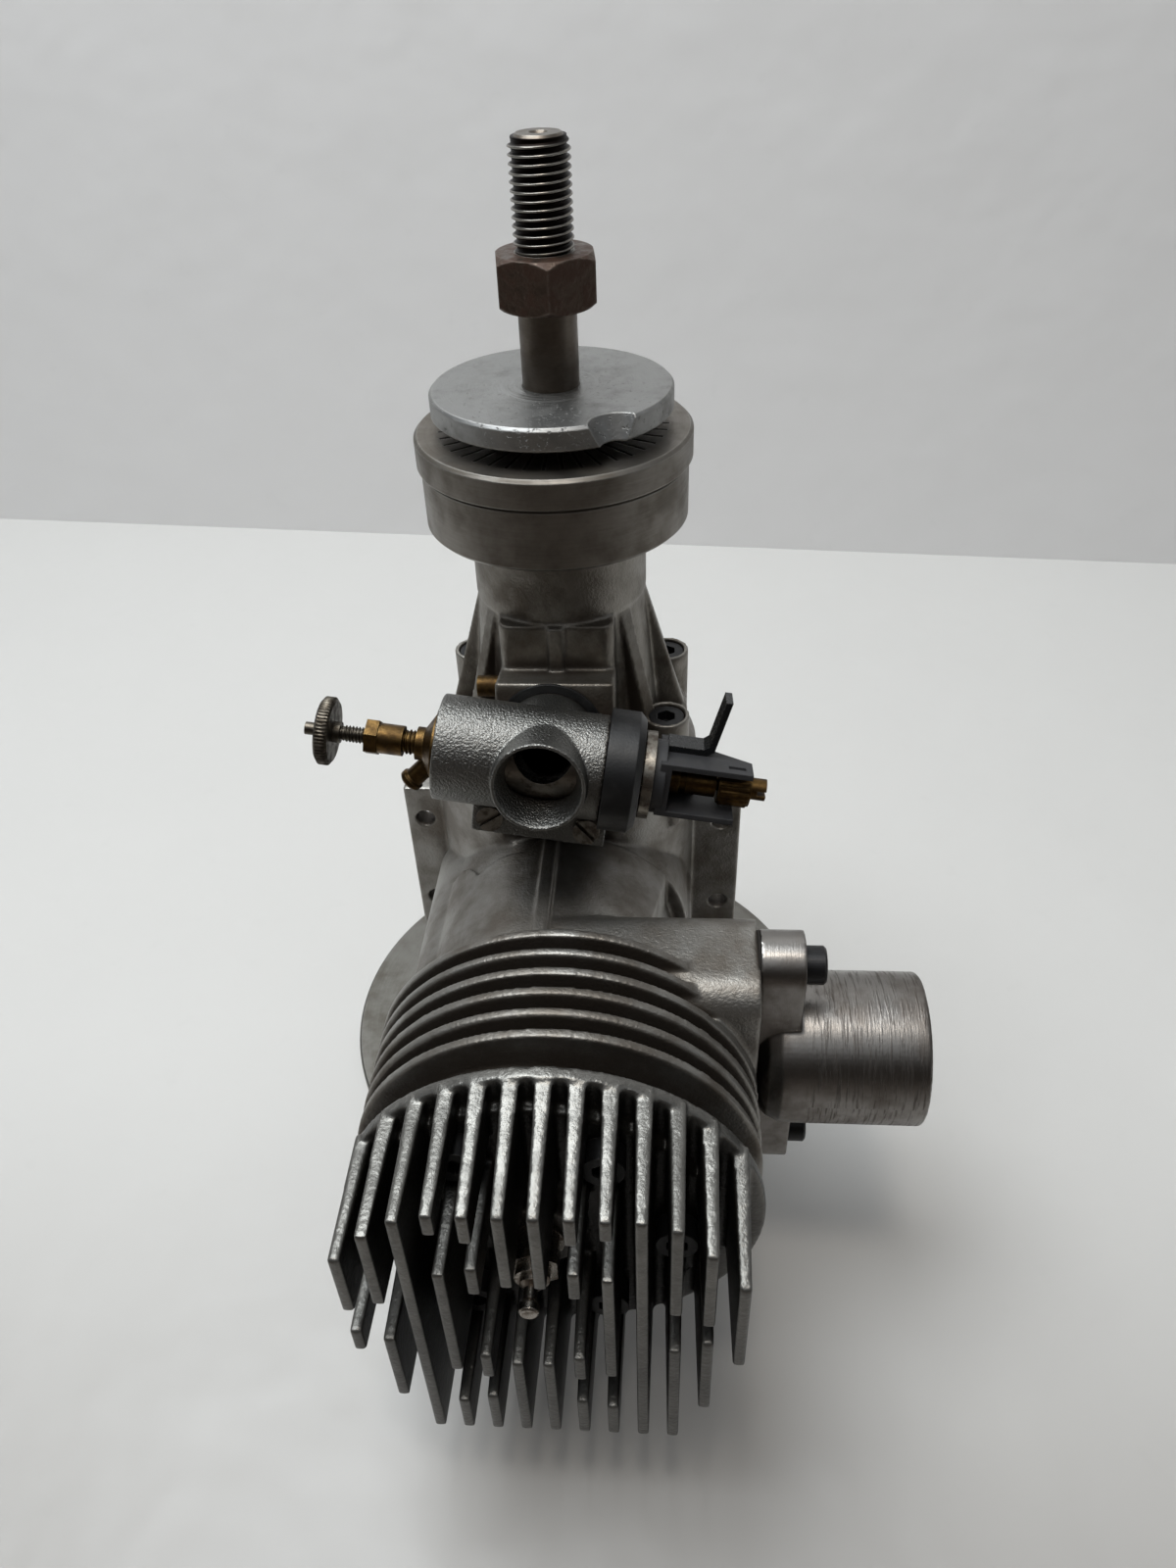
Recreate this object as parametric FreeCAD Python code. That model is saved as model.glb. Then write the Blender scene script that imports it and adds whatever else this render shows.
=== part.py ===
import FreeCAD, Part
import math
import os

# Model aircraft glow engine. Millimetres. +Z runs up the crankshaft to the propeller,
# the origin is on the crankshaft axis at the underside of the round rear disc,
# and the cylinder points to -Y with the exhaust and throttle arm on +X.

# Clearances
RUN_GAP = 0.05
SEAT_GAP = 0.02
OPEN_GAP = 0.4
GASKET = 0.4

# Rear disc and rear cover
DISC_RADIUS = 58.3
DISC_THICK = 3.0
DISC_SCREW_CIRCLE = 17.0
COVER_HUB_RADIUS = 23.5
COVER_FLANGE_WIDTH = 7.8
COVER_FLANGE_THICK = 5.0
COVER_DROP = 36.0
COVER_POCKET_RADIUS = 9.5
COVER_SCREW_EDGE = 4.1
COVER_SCREW_LENGTH = 10.4
COVER_HOLE_DEPTH = 5.6
COVER_FACE_WALL = 4.0

# Crank mechanism
CYLINDER_HEIGHT = 58.0
CHAMBER_RADIUS = 24.7
CASE_WALL = 2.3
CRANK_THROW = 13.0
ROD_LENGTH = 58.0
ROD_WIDTH = 8.0
ROD_SHANK_THICK = 5.0
BIG_END_RADIUS = 7.0
SMALL_END_RADIUS = 6.3
BUSH_WALL = 1.0
CRANKPIN_RADIUS = 4.5
WEB_RADIUS = 24.0
WEB_THICK = 10.4
BEARING_LIP = 1.2
SHAFT_RADIUS = 10.0
SHAFT_BORE = 6.0
NOSE_SHAFT_RADIUS = 7.5
PROP_SHAFT_RADIUS = 5.0
THREAD_ROOT_RADIUS = 4.35
PORT_WINDOW = 9.0

# Main bearings
REAR_BEARING_OUTER = 21.0
REAR_BEARING_WIDTH = 12.0
NOSE_BEARING_OUTER = 14.0
NOSE_BEARING_WIDTH = 7.0
RACE_WALL = 3.2

# Crankcase and cylinder jacket
CASE_RISE = 35.0
CASE_LEFT_SHIFT = 1.9
CASE_FRONT = 25.0
CASE_FRONT_HEIGHT = 11.0
CASE_BOSS_LENGTH = 14.0
CASE_SCREW_DEPTH = 9.0
JACKET_RADIUS = 26.5
JACKET_STEP = 1.0
JACKET_SIDE_STEP = 4.2
BULGE_RADIUS = 14.0
BULGE_REACH = 30.0
BULGE_TOP = 60.0
BARREL_WALL = 8.2
DECK = 88.0
FIN_RADIUS = 35.3
FIN_SHIFT = 2.7
FIN_COUNT = 6
FIN_FIRST = 61.9
FIN_PITCH = 4.35
FIN_ROOT_THICK = 2.6
FIN_TIP_THICK = 1.7
LUG_REACH = 37.2
LUG_FRONT = 4.2
LUG_THICK = 5.2
LUG_LENGTH = 41.0
LUG_HOLE_RADIUS = 2.1
LUG_HOLE_REACH = 33.0
LUG_HOLE_SPACING = 24.0

# Wavy lip where the jacket's full radius ends behind, and its right edge, as (x, y) seen from above
JACKET_LIP = (
    (-26.6, -24.5), (-21.0, -25.6), (-19.1, -27.3), (-16.4, -32.0), (-14.9, -30.8), (-13.1, -30.0), (-10.3, -29.7),
    (-6.8, -30.1), (-5.4, -28.1), (-4.2, -26.6), (-1.3, -25.9), (3.3, -25.9), (9.1, -26.0), (15.0, -26.2),
    (18.0, -26.5), (20.4, -26.1), (26.6, -26.1),
)
JACKET_EDGE = ((20.9, -25.6), (20.6, -29.5), (19.8, -33.3), (18.8, -39.5), (17.5, -45.5), (16.0, -51.0))

# Liner and piston
BORE_RADIUS = 18.0
LINER_WALL = 1.8
LINER_FLANGE_STEP = 1.1
LINER_FLANGE_THICK = 1.5
LINER_FOOT = 27.0
PORT_LOW = 61.6
PORT_HEIGHT = 8.0
TRANSFER_HEIGHT = 5.5
PISTON_HEAD = 16.4
PISTON_SKIRT = 13.0
PISTON_WALL = 2.2
WRIST_PIN_RADIUS = 4.0
RING_WIDTH = 1.5
RING_DEPTH = 1.6
RING_DROP = 2.5

# Cylinder head
HEAD_BOSS_HEIGHT = 1.6
HEAD_PLATE_THICK = 4.2
HEAD_FIN_END = 111.0
HEAD_FIN_COUNT = 13
HEAD_FIN_PITCH = 5.05
HEAD_FIN_ROOT_THICK = 3.0
HEAD_FIN_TIP_THICK = 2.1
HEAD_FLAT_TOP = 30.4
HEAD_FLAT_BOTTOM = 35.5
HEAD_CORNER_SLOPE = 3.0
HEAD_FLAT_HALF = 21.5
HEAD_SCREW_WALL = 0.3
HEAD_SCREW_DEPTH = 12.0
HEAD_SCREW_COUNT = 6
SPOT_FACE_RADIUS = 5.4
PLUG_WELL_RADIUS = 12.0
PLUG_BOSS_RADIUS = 8.0
PLUG_BOSS_TOP = 97.5
CHAMBER_DEPTH = 5.0
COMBUSTION_RADIUS = 12.0

# Glow plug
PLUG_THREAD_RADIUS = 3.17
PLUG_HEX_WIDTH = 8.0
PLUG_HEX_HEIGHT = 5.0
PLUG_WASHER_THICK = 0.8
PLUG_COLLAR_RADIUS = 2.9
PLUG_TIP = 110.6

# Exhaust
EXHAUST_AXIS = 57.0
DUCT_LOW = 46.0
DUCT_HIGH = 69.0
DUCT_HALF_HEIGHT = 27.0
DUCT_CORNER = 6.0
DUCT_FACE = 37.4
EXHAUST_FLANGE_THICK = 8.0
EXHAUST_FLANGE_HALF_HEIGHT = 29.0
EXHAUST_FLANGE_HALF_WIDTH = 14.0
EXHAUST_TUBE_RADIUS = 18.0
EXHAUST_BORE_RADIUS = 15.4
EXHAUST_TUBE_LENGTH = 23.2
EXHAUST_COLLAR = 2.1
CLAMP_SEAT_START = 4.8
EXHAUST_SCREW_DEPTH = 11.0
EXHAUST_PORT_HALF = 10.0
EXHAUST_SCREW_REACH = 23.2

# Front housing
HOUSING_FLANGE_RADIUS = 25.0
HOUSING_FLANGE_THICK = 5.0
HOUSING_NECK_RADIUS = 16.46
HOUSING_FOOT_RADIUS = 18.6
HOUSING_LENGTH = 34.1
NOSE_LENGTH = 14.1
HOUSING_BOSS_RADIUS = 4.6
HOUSING_BOSS_HEIGHT = 11.5
HOUSING_BOSS_X = 20.6
HOUSING_BOSS_Y = 12.4
GUSSET_THICK = 3.0
GUSSET_ANGLES = (4.0, -38.0, 38.0, 142.0, 176.0, 218.0)

# Intake block and carburettor, along the leaning intake axis
INTAKE_RISE = 11.5
INTAKE_LEAN = 12.0
CARB_ROLL = 8.0
CARB_SHIFT = -1.0
CARB_DROP = 1.1
BLOCK_HALF_WIDTH = 11.0
BLOCK_TOP = 9.1
TOWER_HALF_WIDTH = 10.8
TOWER_FACE = 17.0
TOWER_CORNER = 2.5
BLOCK_BOTTOM = 18.5
BLOCK_FACE = 26.5
CARB_NECK_RADIUS = 8.6
CARB_NECK_DEPTH = 12.0
CARB_AXIS = 37.6
CARB_RADIUS = 9.5
CARB_LEFT = 18.9
CARB_RIGHT = 10.8
MOUTH_FACE = 49.2
MOUTH_RADIUS = 8.2
MOUTH_BORE = 7.0
THROAT_RADIUS = 5.3
THROTTLE_REST = 38.0
ROTOR_RADIUS = 7.0
CARB_FLANGE_HALF_WIDTH = 12.6
CARB_FLANGE_THICK = 6.2
CARB_SEAL = 0.6
CARB_SCREW_REACH = 9.1
CARB_SCREW_DROP = 14.8
BOOT_RADIUS = 10.9
BOOT_END = 17.2
ARM_START = 19.4
ARM_END = 36.4
ARM_HUB_RADIUS = 6.6
ARM_WALL = 1.0
ARM_ROOT_WALL = 3.0
ARM_FRONT = 5.6
ARM_ROOT_BACK = 7.2
IDLE_STEM_RADIUS = 1.2
LEVER_REACH = 10.5
LEVER_HALF_WIDTH = 2.6
LEVER_BACK = 2.5
IDLE_SCREW_RADIUS = 3.6
KNURL_DEPTH = 0.25
IDLE_SCREW_START = 31.1
IDLE_SCREW_SHOULDER = 36.9
IDLE_SCREW_END = 39.7
LEVER_THICK = 1.2

# Needle valve and fuel inlet, along the barrel axis
SEAT_BASE_RADIUS = 6.0
SEAT_TIP_RADIUS = 3.0
SEAT_NECK_RADIUS = 1.9
SEAT_TAPER = 2.6
SEAT_END = 22.9
NEEDLE_NUT_RADIUS = 2.75
NEEDLE_NUT_WIDTH = 5.8
NEEDLE_NUT_START = 25.3
NEEDLE_NUT_HEX = 29.7
NEEDLE_NUT_END = 32.0
NEEDLE_RADIUS = 1.15
WHEEL_RADIUS = 6.1
WHEEL_START = 37.8
WHEEL_THICK = 2.5
NEEDLE_STUB = 2.7
NIPPLE_RADIUS = 2.0
NIPPLE_BORE = 1.0
NIPPLE_LENGTH = 10.3
NIPPLE_TILT = 39.0
NIPPLE_ROOT = 17.5

# Propeller driver, washer and nut
DRIVER_GAP = 0.4
DRIVER_HEIGHT = 16.8
DRIVER_RADIUS = 25.0
DRIVER_SKIRT_RADIUS = 24.3
DRIVER_SKIRT_HEIGHT = 11.3
DRIVER_BOSS_RADIUS = 12.0
DRIVER_BOSS_HEIGHT = 3.2
WASHER_THICK = 4.0
WASHER_RADIUS = 21.47
WASHER_BITE_LOW = 3.0
WASHER_BITE_HIGH = 5.0
WASHER_BITE_TURN = math.radians(-57.0)
SERRATION_COUNT = 40
SERRATION_WIDTH = 0.6
SERRATION_REACH = 20.6
COLLET_WALL = 1.6
COLLET_TAPER = 1.6
NUT_RISE = 13.3
NUT_HEIGHT = 8.4
NUT_WIDTH = 16.0
SHAFT_END_RISE = 17.0

# Socket screws
M4 = 2.0
M4_HEAD_RADIUS = 3.5
M4_HEAD_HEIGHT = 4.0
M4_SOCKET = 1.7
M5 = 2.5
M5_HEAD_RADIUS = 3.9
M5_HEAD_HEIGHT = 4.6

# Brass plug on the left of the intake block, and the barrel's stop screw
PLUG_SIDE_RADIUS = 2.3
PLUG_SIDE_UP = 6.6
PLUG_SIDE_REACH = 21.0
PLUG_SIDE_LENGTH = 3.9
PLUG_SIDE_SHANK = 1.2
STOP_SCREW_HEAD = 1.8
STOP_SCREW_HEIGHT = 1.3
STOP_SCREW_RADIUS = 0.8
STOP_SCREW_DROP = 7.6
STOP_SCREW_BACK = 3.0
M3_HOLE = 1.5

# Sizes that follow from the ones above
COVER_FLANGE_RADIUS = CHAMBER_RADIUS + COVER_FLANGE_WIDTH
COVER_SCREW_CIRCLE = COVER_FLANGE_RADIUS - COVER_SCREW_EDGE
COVER_FLANGE_BASE = CYLINDER_HEIGHT - COVER_DROP
COVER_FACE = CYLINDER_HEIGHT - ROD_WIDTH / 2 - 1.0
CASE_FLOOR = COVER_FLANGE_BASE + COVER_FLANGE_THICK + GASKET
CASE_RADIUS = CHAMBER_RADIUS + CASE_WALL
WEB_BASE = CYLINDER_HEIGHT + ROD_WIDTH / 2 + 0.3
CHAMBER_TOP = WEB_BASE + WEB_THICK + OPEN_GAP
REAR_BEARING_BASE = CHAMBER_TOP + BEARING_LIP
REAR_BEARING_TOP = REAR_BEARING_BASE + REAR_BEARING_WIDTH
CASE_TOP = CYLINDER_HEIGHT + CASE_RISE
HOUSING_BASE = CASE_TOP
HOUSING_SEAM = HOUSING_BASE + HOUSING_LENGTH
HOUSING_BOSS_TOP = HOUSING_BASE + HOUSING_BOSS_HEIGHT
INTAKE_HEIGHT = HOUSING_BASE + INTAKE_RISE
NOSE_TOP = HOUSING_SEAM + NOSE_LENGTH
HOUSING_SPIGOT = REAR_BEARING_TOP + 0.3
NOSE_BEARING_TOP = NOSE_TOP - 4.0
NOSE_BEARING_BASE = NOSE_BEARING_TOP - NOSE_BEARING_WIDTH
LINER_RADIUS = BORE_RADIUS + LINER_WALL
LINER_FLANGE_RADIUS = LINER_RADIUS + LINER_FLANGE_STEP
BARREL_RADIUS = LINER_RADIUS + BARREL_WALL
HEAD_SCREW_CIRCLE = LINER_FLANGE_RADIUS + M4 + HEAD_SCREW_WALL
WRIST_PIN_AT_TOP = CRANK_THROW + ROD_LENGTH
PISTON_CROWN = WRIST_PIN_AT_TOP + PISTON_HEAD
PISTON_RADIUS = BORE_RADIUS - RUN_GAP
HEAD_BASE = DECK + GASKET
HEAD_PLATE_BASE = HEAD_BASE + HEAD_BOSS_HEIGHT
HEAD_PLATE_TOP = HEAD_PLATE_BASE + HEAD_PLATE_THICK
FLANGE_START = DUCT_FACE + GASKET
FLANGE_END = FLANGE_START + EXHAUST_FLANGE_THICK
EXHAUST_TUBE_END = FLANGE_END + EXHAUST_TUBE_LENGTH
DRIVER_BASE = NOSE_TOP + DRIVER_GAP
DRIVER_GROOVE = DRIVER_BASE + DRIVER_SKIRT_HEIGHT
DRIVER_FACE = DRIVER_BASE + DRIVER_HEIGHT
WASHER_SEAT = DRIVER_FACE + DRIVER_BOSS_HEIGHT
WASHER_TOP = WASHER_SEAT + WASHER_THICK
NUT_BASE = WASHER_TOP + NUT_RISE
NUT_TOP = NUT_BASE + NUT_HEIGHT
SHAFT_TIP = NUT_TOP + SHAFT_END_RISE
CARB_FLANGE_FACE = BLOCK_FACE + CARB_SEAL + CARB_FLANGE_THICK


def vec(x, y, z):
    return FreeCAD.Vector(x, y, z)


def drum(radius, low, high, x=0.0, y=0.0):
    """Round bar along Z between two heights."""
    return Part.makeCylinder(radius, high - low, vec(x, y, low))


def ring(outer, inner, low, high, x=0.0, y=0.0):
    return drum(outer, low, high, x, y).cut(drum(inner, low - 1, high + 1, x, y))


def block(x0, x1, y0, y1, z0, z1):
    return Part.makeBox(x1 - x0, y1 - y0, z1 - z0, vec(x0, y0, z0))


def turned(profile):
    """Solid turned about Z from (radius, height) points."""
    points = [vec(r, 0, z) for r, z in profile]
    wire = Part.makePolygon(points + [points[0]])
    return Part.Face(wire).revolve(vec(0, 0, 0), vec(0, 0, 1), 360)


def plate(outline, low, high):
    """Prism along Z from an outline of (x, y) points."""
    points = [vec(x, y, low) for x, y in outline]
    wire = Part.makePolygon(points + [points[0]])
    return Part.Face(wire).extrude(vec(0, 0, high - low))


def hexagon(width, low, high):
    corner = width / math.sqrt(3)
    outline = []
    for i in range(6):
        angle = math.radians(60 * i + 30)
        outline.append((corner * math.cos(angle), corner * math.sin(angle)))
    return plate(outline, low, high)


def around(count, radius, start=0.0):
    """Centres of a bolt circle."""
    places = []
    for i in range(count):
        angle = math.radians(start + 360.0 * i / count)
        places.append((radius * math.cos(angle), radius * math.sin(angle)))
    return places


def joined(shapes):
    return shapes[0].multiFuse(shapes[1:]).removeSplitter()


def cap_screw(radius, head_radius, head_height, length, socket):
    """Socket cap screw with its head seat at height 0 and the shank going down."""
    head = drum(head_radius, 0, head_height)
    head = head.cut(hexagon(2 * socket, head_height * 0.45, head_height + 1))
    return head.fuse(drum(radius, -length, 0)).removeSplitter()


def placed(shape, x=0.0, y=0.0, z=0.0, turn=0.0, axis=(0, 0, 1)):
    copy = shape.copy()
    copy.Placement = FreeCAD.Placement(vec(x, y, z), FreeCAD.Rotation(vec(*axis), turn)) * copy.Placement
    return copy


def on_cylinder(shape):
    """From the cylinder's own frame, height along Z, to its place pointing to -Y."""
    return placed(shape, 0, 0, CYLINDER_HEIGHT, 90, (1, 0, 0))


def on_exhaust(shape):
    """From a frame with height along Z to the exhaust axis along +X."""
    return placed(shape, 0, -EXHAUST_AXIS, CYLINDER_HEIGHT, 90, (0, 1, 0))


def on_intake(shape, roll=0.0):
    """From the intake frame, reach along Z, to the leaning intake axis on the housing."""
    rolled = placed(shape, turn=-roll)
    return placed(rolled, 0, 0, INTAKE_HEIGHT, 90 - INTAKE_LEAN, (1, 0, 0))


def on_carb(shape):
    """The carburettor sits rolled about its neck, whose bore is a little off the block's middle."""
    return placed(on_intake(shape, CARB_ROLL), CARB_SHIFT, CARB_DROP * math.sin(math.radians(-INTAKE_LEAN)),
                  -CARB_DROP * math.cos(math.radians(INTAKE_LEAN)))


def on_barrel(shape):
    """From a frame with height along Z to the carburettor's barrel axis, +X outward."""
    return on_carb(placed(shape, 0, 0, CARB_AXIS, 90, (0, 1, 0)))


# Rear disc and cover

def rear_disc():
    disc = drum(DISC_RADIUS, 0, DISC_THICK)
    disc = disc.makeChamfer(0.5, [disc.Edges[0], disc.Edges[2]])
    for x, y in around(4, DISC_SCREW_CIRCLE, 45):
        sink = Part.makeCone(M4_HEAD_RADIUS + SEAT_GAP, M4 + SEAT_GAP, 2.0, vec(x, y, 0.4))
        disc = disc.cut(sink.fuse(drum(M4 + SEAT_GAP, 2.0, DISC_THICK + 1, x, y)))
        disc = disc.cut(drum(M4_HEAD_RADIUS + SEAT_GAP, -1, 0.4, x, y))
    return disc


def disc_screws():
    screws = []
    for x, y in around(4, DISC_SCREW_CIRCLE, 45):
        head = Part.makeCone(M4_HEAD_RADIUS, M4, 2.0, vec(x, y, 0.4))
        screws.append(head.fuse(drum(M4, 2.4, DISC_THICK + 9, x, y)).removeSplitter())
    return Part.makeCompound(screws)


def rear_cover():
    flange_top = COVER_FLANGE_BASE + COVER_FLANGE_THICK
    cover = turned([
        (0, DISC_THICK),
        (COVER_HUB_RADIUS, DISC_THICK),
        (COVER_HUB_RADIUS, COVER_FLANGE_BASE),
        (COVER_FLANGE_RADIUS, COVER_FLANGE_BASE),
        (COVER_FLANGE_RADIUS, flange_top),
        (CHAMBER_RADIUS - RUN_GAP, flange_top),
        (CHAMBER_RADIUS - RUN_GAP, COVER_FACE),
        (0, COVER_FACE),
    ])
    cover = cover.cut(drum(COVER_POCKET_RADIUS, 0, COVER_FACE - COVER_FACE_WALL))
    for x, y in around(4, DISC_SCREW_CIRCLE, 45):
        cover = cover.cut(drum(M4 + SEAT_GAP, DISC_THICK - 1, DISC_THICK + 10, x, y))
    for x, y in around(6, COVER_SCREW_CIRCLE):
        cover = cover.cut(drum(M4 + SEAT_GAP, COVER_FLANGE_BASE - 1, flange_top + 1, x, y))
    return cover


def rear_gasket():
    low = COVER_FLANGE_BASE + COVER_FLANGE_THICK
    gasket = ring(COVER_FLANGE_RADIUS - 0.4, CHAMBER_RADIUS + 0.2, low, CASE_FLOOR)
    for x, y in around(6, COVER_SCREW_CIRCLE):
        gasket = gasket.cut(drum(M4 + SEAT_GAP, low - 1, CASE_FLOOR + 1, x, y))
    return gasket


def rear_cover_screws():
    screw = placed(cap_screw(M4, M4_HEAD_RADIUS, M4_HEAD_HEIGHT, COVER_SCREW_LENGTH, M4_SOCKET), turn=180, axis=(1, 0, 0))
    places = around(6, COVER_SCREW_CIRCLE)
    return Part.makeCompound([placed(screw, x, y, COVER_FLANGE_BASE) for x, y in places])


# Crankcase casting

def cooling_fin(height):
    """One tapered fin round the barrel, in the cylinder's frame."""
    root = FIN_ROOT_THICK / 2
    tip = FIN_TIP_THICK / 2
    return placed(turned([
        (0, height - root),
        (BARREL_RADIUS - FIN_SHIFT, height - root),
        (FIN_RADIUS, height - tip),
        (FIN_RADIUS, height + tip),
        (BARREL_RADIUS - FIN_SHIFT, height + root),
        (0, height + root),
    ]), FIN_SHIFT)


def exhaust_duct():
    """Cast duct from the barrel to the exhaust flange, in the cylinder's frame."""
    duct = block(0, DUCT_FACE, -DUCT_HALF_HEIGHT, DUCT_HALF_HEIGHT, DUCT_LOW, DUCT_HIGH)
    edges = []
    for edge in duct.Edges:
        first, last = edge.Vertexes[0].Point, edge.Vertexes[1].Point
        if abs(first.x - last.x) > 1:
            edges.append(edge)
    return duct.makeFillet(DUCT_CORNER, edges)


def cylinder_jacket():
    """Outside of the cylinder, from the crank chamber to the deck, in the cylinder's frame."""
    bulge_shift = BULGE_REACH - BULGE_RADIUS
    shapes = [
        drum(JACKET_RADIUS, 8, FIN_FIRST),
        drum(BULGE_RADIUS, 10, BULGE_TOP, -bulge_shift),
        drum(BARREL_RADIUS, BULGE_TOP - 4, DECK),
        block(-3.2, -0.4, 0, JACKET_RADIUS + 1.6, CASE_RADIUS - 4, FIN_FIRST),
        exhaust_duct(),
    ]
    for i in range(FIN_COUNT):
        shapes.append(cooling_fin(FIN_FIRST + i * FIN_PITCH))
    return joined(shapes[1:] + [stepped_jacket(shapes[0])])


def stepped_jacket(jacket):
    """The jacket drops by a step behind the wavy lip that ends it and outside its right edge."""
    top = 2 * JACKET_RADIUS
    behind = plate(list(JACKET_LIP) + [(top, JACKET_LIP[-1][1]), (top, 0), (-top, 0), (-top, JACKET_LIP[0][1])],
                   0, top)
    right = plate(list(JACKET_EDGE) + [(top, JACKET_EDGE[-1][1]), (top, JACKET_EDGE[0][1])], -top, top)
    for outline, step in ((behind, JACKET_STEP), (right, JACKET_SIDE_STEP)):
        reach = FIN_FIRST + 1
        shell = outline.cut(placed(drum(JACKET_RADIUS - step, -1, reach), turn=90, axis=(1, 0, 0)))
        jacket = jacket.cut(placed(shell, turn=-90, axis=(1, 0, 0)))
    return jacket


def cylinder_bores():
    """What the liner, ports, ducts and screws take out, in the cylinder's frame."""
    channel = LINER_RADIUS + SEAT_GAP
    tools = [
        drum(channel, 5, DECK + 1),
        drum(channel + 1.5, 5, LINER_FOOT - 0.2),
        drum(LINER_FLANGE_RADIUS + SEAT_GAP, DECK - LINER_FLANGE_THICK, DECK + 1),
        block(-channel - 5.5, -channel + 2, -7, 7, 18, PORT_LOW + TRANSFER_HEIGHT),
        block(-6, 6, channel - 2, channel + 3.6, 18, PORT_LOW + TRANSFER_HEIGHT),
        block(-6, 6, -channel - 3.6, -channel + 2, 18, PORT_LOW + TRANSFER_HEIGHT),
        block(channel - 3, DUCT_FACE + 1, -EXHAUST_PORT_HALF, EXHAUST_PORT_HALF,
              DUCT_LOW + 4, DUCT_HIGH - 2),
    ]
    for x, y in around(HEAD_SCREW_COUNT, HEAD_SCREW_CIRCLE):
        tools.append(drum(M4 + SEAT_GAP, DECK - HEAD_SCREW_DEPTH - 1, DECK + 1, x, y))
    return Part.makeCompound(tools)


def exhaust_screw_holes(low, high):
    holes = []
    for side in (-1, 1):
        holes.append(drum(M5 + SEAT_GAP, low, high, side * EXHAUST_SCREW_REACH, 0))
    return on_exhaust(Part.makeCompound(holes))


def mounting_lugs():
    half = LUG_LENGTH / 2
    back = LUG_THICK - LUG_FRONT
    lugs = block(-LUG_REACH, LUG_REACH, -LUG_FRONT, back, CYLINDER_HEIGHT - half, CYLINDER_HEIGHT + half)
    for x in (-LUG_HOLE_REACH, LUG_HOLE_REACH):
        for z in (-LUG_HOLE_SPACING / 2, LUG_HOLE_SPACING / 2):
            start = vec(x, -LUG_FRONT - 1, CYLINDER_HEIGHT + z)
            lugs = lugs.cut(Part.makeCylinder(LUG_HOLE_RADIUS, LUG_THICK + 2, start, vec(0, 1, 0)))
    return lugs


def crankcase():
    shoulder = 3.0
    barrel = turned([
        (0, CASE_FLOOR),
        (COVER_FLANGE_RADIUS, CASE_FLOOR),
        (COVER_FLANGE_RADIUS, CASE_FLOOR + 5),
        (CASE_RADIUS, CASE_FLOOR + 9),
        (CASE_RADIUS, CASE_TOP - shoulder),
        (CASE_RADIUS - shoulder * 0.6, CASE_TOP),
        (0, CASE_TOP),
    ])
    barrel = barrel.fuse(drum(CASE_RADIUS, CASE_FLOOR + 9, CASE_TOP - shoulder, -CASE_LEFT_SHIFT))
    bosses = []
    for x, y in housing_boss_places():
        bosses.append(drum(HOUSING_BOSS_RADIUS, CASE_TOP - CASE_BOSS_LENGTH, CASE_TOP, x, y))
    side = COVER_FLANGE_RADIUS
    barrel = barrel.cut(block(-side, side, -side, -CASE_FRONT, CASE_TOP - CASE_FRONT_HEIGHT, CASE_TOP + 1))
    case = joined([barrel, mounting_lugs(), on_cylinder(cylinder_jacket())] + bosses)
    case = case.cut(joined([
        drum(CHAMBER_RADIUS, CASE_FLOOR - 1, CHAMBER_TOP),
        drum(REAR_BEARING_OUTER - 2.5, CHAMBER_TOP - 1, REAR_BEARING_BASE + 1),
        drum(REAR_BEARING_OUTER + SEAT_GAP, REAR_BEARING_BASE, CASE_TOP + 1),
    ]))
    case = case.cut(on_cylinder(cylinder_bores()))
    case = case.cut(exhaust_screw_holes(DUCT_FACE - EXHAUST_SCREW_DEPTH - 1, DUCT_FACE + 1))
    for x, y in around(6, COVER_SCREW_CIRCLE):
        case = case.cut(drum(M4 + SEAT_GAP, CASE_FLOOR - 1, CASE_FLOOR + COVER_HOLE_DEPTH, x, y))
    for x, y in housing_boss_places():
        case = case.cut(drum(M4 + SEAT_GAP, CASE_TOP - CASE_SCREW_DEPTH, CASE_TOP + 1, x, y))
    case = case.cut(on_intake(intake_foot(OPEN_GAP)))
    flange_edge = EXHAUST_AXIS + EXHAUST_FLANGE_HALF_WIDTH + OPEN_GAP
    case = case.cut(block(DUCT_FACE, FLANGE_END, -flange_edge, 0, CASE_FLOOR, CASE_TOP))
    return case.removeSplitter()


# Liner, piston and rod

def cylinder_liner():
    flange_base = DECK - LINER_FLANGE_THICK
    liner = ring(LINER_RADIUS, BORE_RADIUS, LINER_FOOT, DECK)
    liner = liner.fuse(ring(LINER_FLANGE_RADIUS, BORE_RADIUS, flange_base, DECK)).removeSplitter()
    reach = LINER_RADIUS + 2
    ports = [
        block(0, reach, -EXHAUST_PORT_HALF + 1, EXHAUST_PORT_HALF - 1, PORT_LOW - 2, DUCT_HIGH - 2.5),
        block(-reach, 0, -6, 6, PORT_LOW, PORT_LOW + TRANSFER_HEIGHT),
        block(-5, 5, -reach, reach, PORT_LOW, PORT_LOW + TRANSFER_HEIGHT),
    ]
    return on_cylinder(liner.cut(Part.makeCompound(ports)))


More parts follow.
